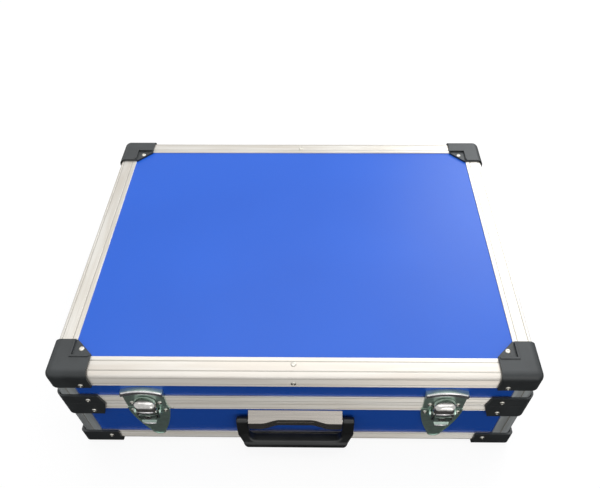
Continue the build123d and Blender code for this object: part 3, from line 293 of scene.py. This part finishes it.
def plated_steel():
    f = new_finish("plated_steel")
    brushed = f.noise(500, (1, 8, 1), 2)
    colour = f.mix(brushed, rgb(0.52, 0.52, 0.50), rgb(0.68, 0.68, 0.66))
    return f.surface(colour, 0.26 + 0.14 * brushed, brushed, 0.00004, 0.0002, {"Metallic": 1.0})


def open_foam():
    """Charcoal foam, full of small open cells, with painted shade in the cells' middles and painted
    light on the peaks.
    """
    f = new_finish("open_foam")
    cells = f.add("ShaderNodeTexVoronoi", {"feature": "F1"}, {"Vector": f.place, "Scale": 900.0})
    mottle = f.noise(70, detail=4)
    # The cells' middles are darker: painted shade in the pores.
    painted_pore_shade = f.mix(cells, rgb(0.010, 0.010, 0.011), rgb(0.050, 0.051, 0.054))
    # The peaks' tips are paler: painted light on them.
    painted_shade_off_peaks = f.fade(f.case_place()[2], FOAM_LOW + 0.5, FOAM_LOW + 5.0)
    shade = f.mix(painted_shade_off_peaks, rgb(0.105, 0.107, 0.113), painted_pore_shade)
    colour = f.mix(f.fade(mottle, 0.5, 0.8) * 0.35, shade, rgb(0.085, 0.086, 0.092))
    return f.surface(colour, 0.9 + 0.08 * mottle, cells, 0.0008, 0.0, {"Specular IOR Level": 0.1})


def painted_panel():
    """Off-white stove enamel on sheet, with a slight orange peel."""
    f = new_finish("painted_panel")
    peel = f.noise(700, detail=2)
    warm = f.noise(14, detail=2)
    colour = f.mix(warm, rgb(0.74, 0.755, 0.75), rgb(0.80, 0.81, 0.80))
    return f.surface(colour, 0.42 + 0.08 * peel, peel, 0.00004, 0.0003)


def socket_board():
    """White board with square contact holes, and a red and a blue line by the supply rows."""
    f = new_finish("socket_board")
    x, y, z = f.case_place()
    # In hole pitches from the board's middle. The supply rows' holes stand in groups of five.
    along = (abs(x) - BOARD_X) * (1 / HOLE_PITCH)
    across = abs(y - BOARD_Y) * (1 / HOLE_PITCH)
    half_hole, half_line, line_end, supply_end = 0.22, 0.09, 31.0, 29.0
    hole = (abs((along + 100.0) % 1.0 - 0.5) < half_hole) * (abs(across % 1.0 - 0.5) < half_hole)
    terminals = (across > 1.0) * (across < 6.0) * (abs(along) < line_end)
    supply = (across > 8.0) * (across < 10.0) * (abs(along) < supply_end)
    supply = supply * ((along + 102.0) % 6.0 < 5.0)
    upward = f.axis("Z", f.add("ShaderNodeNewGeometry", out="Normal")) > 0.7
    hole = hole * (terminals + supply) * upward
    red = (abs(across - 10.28) < half_line) * (abs(along) < line_end) * upward
    blue = (abs(across - 7.62) < half_line) * (abs(along) < line_end) * upward
    cream = f.mix(f.noise(30), rgb(0.80, 0.80, 0.76), rgb(0.86, 0.86, 0.83))
    colour = f.mix(blue, f.mix(red, cream, rgb(0.62, 0.05, 0.04)), rgb(0.04, 0.10, 0.50))
    # The holes are near black: painted shade inside them.
    colour = f.mix(hole, colour, rgb(0.012, 0.012, 0.012))
    return f.surface(colour, 0.42 + 0.3 * hole, 1 - hole, 0.0006, 0.0004)


def switch_shell():
    """Black switch bodies; the toggles' bushings and nuts above the panel are nickel."""
    f = new_finish("switch_shell")
    x, y, z = f.case_place()
    nickel = (z > DECK_TOP + 0.05) * (x < 0)
    cloud = f.noise(300, detail=3)
    plastic = f.mix(cloud, rgb(0.012, 0.012, 0.013), rgb(0.020, 0.020, 0.021))
    colour = f.mix(nickel, plastic, rgb(0.62, 0.60, 0.56))
    rough = f.choose(nickel, 0.32 + 0.12 * cloud, 0.20 + 0.1 * cloud)
    return f.surface(colour, rough, cloud, 0.00003, 0.0003, {"Metallic": nickel})


def post_plastic():
    """Terminal posts: the first three red and the last three black."""
    f = new_finish("post_plastic")
    black = f.case_place()[0] > (POST_X[2] + POST_X[3]) / 2
    cloud = f.noise(200, detail=2)
    colour = f.mix(black, rgb(0.55, 0.020, 0.015), rgb(0.014, 0.014, 0.015))
    return f.surface(colour, 0.24 + 0.1 * cloud, cloud, 0.00003, 0.0004)


def bare_wood():
    f = new_finish("bare_wood")
    grain = f.noise(60, (1, 14, 14), 4)
    colour = f.mix(f.fade(grain, 0.3, 0.7), rgb(0.46, 0.32, 0.17), rgb(0.62, 0.47, 0.29))
    return f.surface(colour, 0.62 + 0.15 * grain, grain, 0.0002, 0.0004)


def laminated_iron():
    """Stacked laminations round a taped winding."""
    f = new_finish("laminated_iron")
    x, y, z = f.case_place()
    sheets_per_mm, core_x, tape_half, tape_low, tape_high = 2, -60.0, 18.6, 15.0, 42.5
    layers = abs((y * sheets_per_mm) % 1.0 - 0.5) * 2
    varnish = f.noise(90, detail=3)
    colour = f.mix(layers, rgb(0.10, 0.085, 0.07), rgb(0.24, 0.22, 0.20))
    tape = (z > tape_low) * (z < tape_high) * (abs(x - core_x) < tape_half)
    colour = f.mix(tape, colour, rgb(0.62, 0.46, 0.08))
    return f.surface(colour, 0.4 + 0.25 * varnish, layers, 0.0001, 0.0003)


def clear_lens(name, colour, glow):
    """Dyed lens that passes some light."""
    f = new_finish(name)
    ring = f.noise(300, detail=1)
    shade = f.mix(ring, colour, scaled(colour, 1.4))
    fixed = {"Transmission Weight": 0.35, "Emission Strength": glow, "Emission Color": colour}
    return f.surface(shade, 0.12 + 0.05 * ring, ring, 0.00002, 0.0003, fixed)


def printed_ink(name, colour):
    f = new_finish(name)
    patchy = f.noise(800, detail=2)
    return f.surface(f.mix(patchy, scaled(colour, 0.8), colour), 0.55 + 0.1 * patchy)


LAMINATE = blue_laminate()
ALUMINIUM = satin_aluminium()
POST_ALUMINIUM = satin_aluminium("satin_aluminium_upright", upright=True)
CORNER = moulded_plastic("charcoal_corner", rgb(0.026, 0.030, 0.032), 0.38)
GRIP = moulded_plastic("black_grip", rgb(0.010, 0.011, 0.011), 0.27, 0.00003)
RIVET = bright_plate("rivet_metal", rgb(0.62, 0.60, 0.54), 0.24)
CHROME = bright_plate("bright_chrome", rgb(0.45, 0.45, 0.43), 0.15)
# The latch plates' chrome is tinted green: painted reflection of dark greenish surroundings.
PLATE_PAINTED_REFLECTION = bright_plate("latch_plate_chrome_painted_reflection", rgb(0.60, 0.78, 0.69), 0.38)
# The levers' chrome is darker and tinted green: painted reflection of dark greenish surroundings.
LEVER_PAINTED_REFLECTION = bright_plate("lever_chrome_painted_reflection", rgb(0.34, 0.43, 0.385), 0.33)
# A lighter chrome for the beads and the latches' edge bars: painted highlight.
BEAD_PAINTED_HIGHLIGHT = bright_plate("bead_chrome_painted_highlight", rgb(0.74, 0.73, 0.74), 0.16)
BRACKET = bright_plate("bracket_chrome", rgb(0.44, 0.41, 0.375), 0.22, 0.10, (0.12, 5, 5))
STEEL = plated_steel()
SWITCH = moulded_plastic("black_switch", rgb(0.014, 0.014, 0.015), 0.34)
RED_CAP = moulded_plastic("red_cap", rgb(0.55, 0.020, 0.015), 0.24, 0.00002)
BLACK_CAP = moulded_plastic("black_cap", rgb(0.012, 0.012, 0.013), 0.24, 0.00002)
LENS = clear_lens("red_lens", rgb(0.60, 0.015, 0.012), 0.15)
WINDOW = moulded_plastic("display_window", rgb(0.020, 0.012, 0.012), 0.12, 0.00001)
INK = printed_ink("dark_ink", rgb(0.03, 0.05, 0.12))
SEGMENT = printed_ink("display_segment", rgb(0.50, 0.04, 0.03))

NODE_FINISH = {
    LAMINATE: ["lid_top_panel", "lid_front_panel", "lid_rear_panel", "lid_side_panels",
               "base_bottom_panel", "base_front_panel", "base_rear_panel", "base_side_panels"],
    ALUMINIUM: ["lid_edge_extrusions", "lid_rim_extrusions",
                "base_edge_extrusions", "base_rim_extrusions"],
    POST_ALUMINIUM: ["lid_corner_posts", "base_corner_posts"],
    CORNER: ["lid_top_corners", "lid_rim_corners", "base_bottom_corners", "base_rim_corners"],
    STEEL: ["lid_hinge_leaves", "base_hinge_leaves", "hinge_pins", "handle_pins", "latch_pivot_pins"],
    PLATE_PAINTED_REFLECTION: ["latch_catch_plates", "latch_base_plates"],
    CHROME: ["left_lock_cylinder", "right_lock_cylinder"] + [f"toggle_lever_{i}" for i in range(1, 9)],
    LEVER_PAINTED_REFLECTION: ["left_latch_lever", "right_latch_lever"],
    dome_chrome(): ["left_latch_hook", "right_latch_hook"],
    BRACKET: ["handle_bracket"],
    bare_wood(): ["panel_support_rails"],
    painted_panel(): ["control_panel"],
    socket_board(): ["breadboards"],
    laminated_iron(): ["power_transformer"],
    switch_shell(): ["switch_bodies"],
    post_plastic(): ["terminal_posts"],
    SWITCH: ["mains_inlet", "power_rocker", "clock_knob"],
    RED_CAP: ["pulse_button_1"],
    BLACK_CAP: ["pulse_button_2"],
    LENS: ["indicator_lamps"],
    WINDOW: ["digit_displays"],
}
for finish, names in NODE_FINISH.items():
    for name in names:
        mesh = NODES[name].data
        mesh.materials.clear()
        mesh.materials.append(finish)


# ---- Meshes --------------------------------------------------------------------------------
def piece(name, mesh, material, body, replaced=()):
    """A named object on a CAD body."""
    thing = bpy.data.objects.new(name, mesh)
    bpy.context.scene.collection.objects.link(thing)
    mesh.materials.clear()
    mesh.materials.append(material)
    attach(thing, body)
    if replaced:
        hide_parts(*replaced)
    return thing


def as_mesh(name, bm, smooth=True):
    mesh = bpy.data.meshes.new(name)
    bmesh.ops.recalc_face_normals(bm, faces=bm.faces)
    bm.to_mesh(mesh)
    bm.free()
    for face in mesh.polygons:
        face.use_smooth = smooth
    return mesh


def turn(bm, profile, base, axis, steps=24):
    """Adds a turned form to bm: a profile of (radius, height) round an axis from a base point."""
    lift = axis.to_track_quat("Z", "Y").to_matrix()
    rings = []
    for radius, height in profile:
        if radius == 0:
            rings.append([bm.verts.new(base + lift @ Vector((0, 0, height)))])
            continue
        ring = []
        for step in range(steps):
            angle = 2 * pi * step / steps
            point = Vector((radius * cos(angle), radius * sin(angle), height))
            ring.append(bm.verts.new(base + lift @ point))
        rings.append(ring)
    for low, high in zip(rings, rings[1:]):
        for step in range(steps):
            after = (step + 1) % steps
            corners = [ring[i % len(ring)] for ring, i in
                       ((low, step), (low, after), (high, after), (high, step))]
            corners = [v for i, v in enumerate(corners) if v not in corners[:i]]
            if len(corners) > 2:
                bm.faces.new(corners)


def studs(node):
    """Where each small head of a CAD node stands, on its wider end: (base point, outward axis)."""
    bm = bmesh.new()
    bm.from_mesh(NODES[node].data)
    bmesh.ops.remove_doubles(bm, verts=bm.verts, dist=1e-6)
    left = dict.fromkeys(bm.verts)  # in order, so that each run finds the same heads in turn
    found = []
    while left:
        island = [next(iter(left))]
        del left[island[0]]
        for vert in island:
            for link in vert.link_edges:
                other = link.other_vert(vert)
                if other in left:
                    del left[other]
                    island.append(other)
        points = [vert.co.copy() for vert in island]
        low = Vector(min(p[i] for p in points) for i in range(3))
        high = Vector(max(p[i] for p in points) for i in range(3))
        size = high - low
        thin = min(range(3), key=lambda i: size[i])
        middle = (low + high) / 2
        spread = {}
        for end in (low[thin], high[thin]):
            at_end = [p for p in points if abs(p[thin] - end) < size[thin] / 4]
            spread[end] = max((p - middle).length for p in at_end)
        foot = max(spread, key=spread.get)
        axis = Vector((0, 0, 0))
        axis[thin] = 1 if foot == low[thin] else -1
        middle[thin] = foot
        found.append((middle, axis))
    bm.free()
    return found


# Radius and height in millimetres, from the foot to the middle.
RIVET_PROFILE = [(2.7, 0), (2.68, 0.18), (2.45, 0.55), (2.0, 0.86), (1.45, 1.02), (1.05, 1.04),
                 (0.85, 0.82), (0.8, 0.45), (0.5, 0.38), (0, 0.42)]
SCREW_PROFILE = [(2.8, 0), (2.78, 0.3), (2.4, 1.1), (1.7, 1.6), (1.2, 1.7), (0.9, 1.2), (0, 1.15)]


def in_metres(profile, size=1.0):
    return [(radius * size / 1000, height * size / 1000) for radius, height in profile]


def heads(node, profile, material, body):
    """Turned heads in place of a CAD node's plain ones."""
    bm = bmesh.new()
    for base, axis in studs(node):
        turn(bm, in_metres(profile), base, axis)
    return piece(node + "_turned", as_mesh(node + "_turned", bm), material, body, [node])


def rim_crimps():
    """Two small crimped pins at the foot of the base's rim, in front."""
    bm = bmesh.new()
    for x in (-124.0, 133.0):
        turn(bm, in_metres(RIVET_PROFILE, 0.6), spot(x, FRONT, 73.6), Vector((0, -1, 0)))
    return as_mesh("rim_crimps", bm)


piece("rim_crimps", rim_crimps(), RIVET, "base")
heads("lid_rivets", RIVET_PROFILE, RIVET, "lid")
heads("base_rivets", RIVET_PROFILE, RIVET, "base")
heads("panel_screws", SCREW_PROFILE, STEEL, "base")


def swept(bm, rail, section):
    """Adds a form to bm: a section of (down, out) along a rail of (x, z) on the case's front."""
    rings = []
    for x, z in rail:
        rings.append([bm.verts.new(spot(x, FRONT - out, z - down)) for down, out in section])
    for near, far in zip(rings, rings[1:]):
        for i in range(len(section)):
            after = (i + 1) % len(section)
            bm.faces.new((near[i], far[i], far[after], near[after]))
    bm.faces.new(rings[0])
    bm.faces.new(rings[-1][::-1])


def half_round(width, foot, rise):
    """A section for `swept` that stands `rise` proud of a flat face at `foot`."""
    steps = 10
    angles = [pi * i / steps for i in range(steps + 1)]
    return [(width * (1 - cos(a)) / 2, foot + rise * sin(a)) for a in angles]


def catch_beads():
    """Rolled bead along the arch of each catch plate."""
    bm = bmesh.new()
    half, end_z, arch, spans = 20.3, SEAM_Z + 23.9, 4.8, 12
    for middle in (-LATCH_X, LATCH_X):
        across = [half * (i / spans - 1) for i in range(2 * spans + 1)]
        rail = [(middle + x, end_z + arch * (1 - (x / half) ** 2)) for x in across]
        swept(bm, rail, half_round(width=6.6, foot=2.8, rise=1.9))
    return as_mesh("catch_beads", bm)


def edge_bar(name, middle, half, top, section):
    """Rounded edge of a latch's moving piece."""
    bm = bmesh.new()
    swept(bm, [(middle - half, top), (middle + half, top)], section)
    return as_mesh(name, bm)


# Half length, upper edge and section.
HOOK_EDGE = (8.0, SEAM_Z - 1.9, half_round(width=2.6, foot=9.8, rise=1.1))
LEVER_EDGE = (6.7, SEAM_Z - 21.8, half_round(width=1.7, foot=11.1, rise=1.0))
piece("catch_beads", catch_beads(), BEAD_PAINTED_HIGHLIGHT, "lid")
for side, middle in (("left", -LATCH_X), ("right", LATCH_X)):
    for part, edge in (("hook", HOOK_EDGE), ("lever", LEVER_EDGE)):
        name = f"{side}_{part}_edge"
        piece(name, edge_bar(name, middle, *edge), BEAD_PAINTED_HIGHLIGHT, f"{side}_latch_{part}")


def softened(node, voxel, passes):
    """A copy of a CAD node's shape with its edges rounded over."""
    source = NODES[node]
    thing = bpy.data.objects.new(node + "_softened", source.data.copy())
    bpy.context.scene.collection.objects.link(thing)
    remesh = thing.modifiers.new("remesh", "REMESH")
    remesh.mode, remesh.voxel_size, remesh.use_smooth_shade = "VOXEL", voxel, True
    smooth = thing.modifiers.new("smooth", "SMOOTH")
    smooth.factor, smooth.iterations = 0.5, passes
    depsgraph = bpy.context.evaluated_depsgraph_get()
    mesh = bpy.data.meshes.new_from_object(thing.evaluated_get(depsgraph))
    bpy.data.objects.remove(thing)
    for face in mesh.polygons:
        face.use_smooth = True
    return mesh


piece("handle_grip", softened("carry_handle", voxel=0.0008, passes=9), GRIP, "carry_handle",
      ["carry_handle"])


def crated_foam():
    """Lid lining: a flat back and rows of soft peaks that face the control panel."""
    low, high = [Vector(corner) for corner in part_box("lid_foam")]
    pitch, samples = 0.0307, 8  # metres from peak to peak, and the mesh's steps in that
    swell, margin, margin_rise = 0.0052, 3, 0.004  # the margin is in steps, and rounds off the rim
    size = high - low
    columns = int(size.x / pitch) * samples
    rows = int(size.y / pitch) * samples
    bm = bmesh.new()
    grid = []
    for row in range(rows + 1):
        line = []
        for column in range(columns + 1):
            x = low.x + size.x * column / columns
            y = low.y + size.y * row / rows
            inward = min(1.0, min(column, columns - column, row, rows - row) / margin)
            wave = cos(2 * pi * column / samples) + cos(2 * pi * row / samples)
            height = swell * (0.5 - wave / 4) + margin_rise * (1 - inward) ** 2
            line.append(bm.verts.new((x, y, low.z + 0.0002 + height)))
        grid.append(line)
    for near, far in zip(grid, grid[1:]):
        for i in range(columns):
            bm.faces.new((near[i], near[i + 1], far[i + 1], far[i]))
    right, left = [line[-1] for line in grid[:-1]], [line[0] for line in grid[:0:-1]]
    border = grid[0][:-1] + right + grid[-1][:0:-1] + left
    tops = [bm.verts.new((v.co.x, v.co.y, high.z)) for v in border]
    for i, vert in enumerate(border):
        after = (i + 1) % len(border)
        bm.faces.new((vert, border[after], tops[after], tops[i]))
    bm.faces.new(tops)
    return as_mesh("crated_foam", bm)


foam = piece("crated_foam", crated_foam(), open_foam(), "lid", ["lid_foam"])


# ---- Marks and small parts on the control panel ----------------------------------------------
def flat_bar(bm, x0, y0, x1, y1, width, z):
    """A thin printed line between two points of the case's own frame."""
    thick = 0.12
    start, end = Vector((x0, y0, 0)), Vector((x1, y1, 0))
    along = (end - start).normalized()
    aside = Vector((-along.y, along.x, 0)) * width / 2
    start, end = start - along * width / 2, end + along * width / 2
    corners = [start - aside, end - aside, end + aside, start + aside]
    low = [bm.verts.new(spot(c.x, c.y, z)) for c in corners]
    high = [bm.verts.new(spot(c.x, c.y, z + thick)) for c in corners]
    bm.faces.new(high)
    bm.faces.new(low[::-1])
    for i in range(4):
        bm.faces.new((low[i], low[(i + 1) % 4], high[(i + 1) % 4], high[i]))


def round_knob(tick, radius):
    """Where one of the knob's ticks, or its figure, stands at a radius."""
    angle = radians(KNOB_FIRST + KNOB_STEP * tick)
    return KNOB_X + radius * sin(angle), KNOB_Y + radius * cos(angle)


def panel_lines():
    """Rectangles round the groups of parts, a line to each switch, and the knob's ticks."""
    bm = bmesh.new()
    z = DECK_TOP + 0.02
    groups = ((-186, -132, -12, -60), (20, -132, 84, -92), (112, -140, 168, -84),
              (-30, 76, 30, 108), (54, 104, 188, 134))
    for x0, y0, x1, y1 in groups:
        for ends in ((x0, y0, x1, y0), (x1, y0, x1, y1), (x1, y1, x0, y1), (x0, y1, x0, y0)):
            flat_bar(bm, *ends, 0.6, z)
    for x in TOGGLE_X:
        flat_bar(bm, x, -98, x, -80, 0.4, z)
    for tick in range(KNOB_TICKS):
        flat_bar(bm, *round_knob(tick, 14.0), *round_knob(tick, 17.0), 0.5, z)
    return as_mesh("panel_lines", bm, smooth=False)


def panel_figures():
    """Digits at the lamps, switches and knob, signs at the posts and letters at the buttons."""
    labels = [(str(7 - i), x, -64, 5) for i, x in enumerate(TOGGLE_X)]
    labels += [("1", -181.5, -97, 4), ("0", -181.5, -124, 4)]
    labels += [(str(tick), *round_knob(tick, 20), 3.4) for tick in range(KNOB_TICKS)]
    labels += [(sign, x, POST_SIGN_Y, 5) for sign, x in zip("+++---", POST_X)]
    labels += [("A", 35, -98, 5), ("B", 68, -98, 5)]
    bm = bmesh.new()
    for text, x, y, tall in labels:
        curve = bpy.data.curves.new("panel_figures", "FONT")
        curve.body, curve.size, curve.extrude = text, tall / 1000, 0.00005
        curve.align_x, curve.align_y = "CENTER", "CENTER"
        curve.resolution_u = 3
        thing = bpy.data.objects.new("panel_figures", curve)
        bpy.context.scene.collection.objects.link(thing)
        thing.location = spot(x, y, DECK_TOP + 0.07)
        bpy.context.view_layer.update()
        depsgraph = bpy.context.evaluated_depsgraph_get()
        mesh = bpy.data.meshes.new_from_object(thing.evaluated_get(depsgraph))
        mesh.transform(thing.matrix_world)
        bm.from_mesh(mesh)
        bpy.data.objects.remove(thing)
    return as_mesh("panel_figures", bm, smooth=False)


piece("panel_lines", panel_lines(), INK, "base")
piece("panel_figures", panel_figures(), INK, "base")


def display_segments():
    """Seven slanted bars and a point on each digit's window."""
    half_w, half_h, lean, end_gap, side_gap = 2.9, 5.2, 0.14, 1.2, 1.3
    bars = [(end_gap - half_w, y, half_w - end_gap, y) for y in (-half_h, 0, half_h)]
    for x in (-half_w, half_w):
        bars += [(x, side_gap, x, half_h - side_gap), (x, side_gap - half_h, x, -side_gap)]
    bars.append((half_w + 1.6, -half_h, half_w + 1.7, -half_h))
    bm = bmesh.new()
    for centre in (-DISPLAY_X, DISPLAY_X):
        for x0, y0, x1, y1 in bars:
            start = centre + x0 + lean * y0, DISPLAY_Y + y0
            end = centre + x1 + lean * y1, DISPLAY_Y + y1
            flat_bar(bm, *start, *end, 0.95, DECK_TOP + DISPLAY_RISE)
    return as_mesh("display_segments", bm, smooth=False)


piece("display_segments", display_segments(), SEGMENT, "base")


# ---- Stage, light and camera -------------------------------------------------------------------
def stage():
    """A pale floor that stays white to the eye but still takes the case's shadow."""
    bm = bmesh.new()
    bmesh.ops.create_grid(bm, x_segments=2, y_segments=2, size=6.0)
    floor = bpy.data.objects.new("floor", as_mesh("floor", bm))
    bpy.context.scene.collection.objects.link(floor)
    f = new_finish("pale_floor")
    plain, shaded = [f.add("ShaderNodeBsdfDiffuse", None, {"Color": rgb(tone, tone, tone)})
                     for tone in (FLOOR_TONE, SHADOW_TONE)]
    glow_level = FLOOR_WHITE - SHADOW_TONE
    glow = f.add("ShaderNodeEmission", None, {"Color": rgb(1, 1, 1), "Strength": glow_level})
    white = f.add("ShaderNodeAddShader", None, {0: shaded, 1: glow})
    floor.data.materials.append(f.done(f.shown(plain, white, FLOOR_IN_GLOSS)))


def soft_light(name, place, aim, size, power, tint=(1.0, 1.0, 1.0)):
    lamp = bpy.data.lights.new(name, "AREA")
    lamp.shape, lamp.size, lamp.energy, lamp.color = "DISK", size, power, tint
    thing = bpy.data.objects.new(name, lamp)
    bpy.context.scene.collection.objects.link(thing)
    thing.location = place
    thing.rotation_euler = (Vector(aim) - Vector(place)).to_track_quat("-Z", "Y").to_euler()


def sky():
    """Plain white to the eye; as a light it is dim at the horizon and bright overhead."""
    world = bpy.data.worlds.new("sky")
    bpy.context.scene.world = world
    f = Finish(world, "Generated")
    levels = [f.add("ShaderNodeBackground", None, {"Color": rgb(1, 1, 1), "Strength": level})
              for level in (HORIZON_LIGHT, ZENITH_LIGHT, 1.0)]
    light = f.blend(f.fade(f.axis("Z"), 0.0, 0.75), levels[0], levels[1])
    f.done(f.shown(light, levels[2], 1.0), "ShaderNodeOutputWorld")


stage()
sky()
soft_light("overhead", (0.10, 0.45, 2.0), (0.0, 0.1, 0.1), size=2.6, power=23)
soft_light("window", (0.75, 1.15, 1.1), (0.1, 0.0, 0.1), size=0.8, power=6, tint=(0.93, 0.97, 1.0))
soft_light("fill", (0.7, -1.8, 0.8), (0.0, 0.0, 0.1), size=1.0, power=4.0, tint=(1.0, 0.97, 0.93))


def camera():
    """The photograph's view: 600 by 488 pixels, focal length and centre in pixels."""
    wide, tall, sensor = 600, 488, 36.0
    focal, centre_x, centre_y = 564.34, 310.92, 274.83
    place = (21.688, -438.92, 594.13)
    pitch, yaw, roll = 0.86867, -0.016843, -0.008586
    to_image = Matrix.Rotation(roll, 3, "Z") @ Matrix.Rotation(pitch, 3, "X")
    to_image = to_image @ Matrix(((1, 0, 0), (0, 0, -1), (0, 1, 0))) @ Matrix.Rotation(yaw, 3, "Z")
    turned = to_image.transposed() @ Matrix.Diagonal((1, -1, -1))
    lens = bpy.data.cameras.new("camera")
    lens.sensor_width, lens.lens = sensor, focal * sensor / wide
    lens.shift_x, lens.shift_y = (wide / 2 - centre_x) / wide, (centre_y - tall / 2) / wide
    lens.clip_start = 0.01
    thing = bpy.data.objects.new("camera", lens)
    bpy.context.scene.collection.objects.link(thing)
    thing.matrix_world = Matrix.Translation(spot(*place)) @ turned.to_4x4()
    bpy.context.scene.camera = thing


camera()
bpy.context.scene.view_settings.view_transform = "Standard"
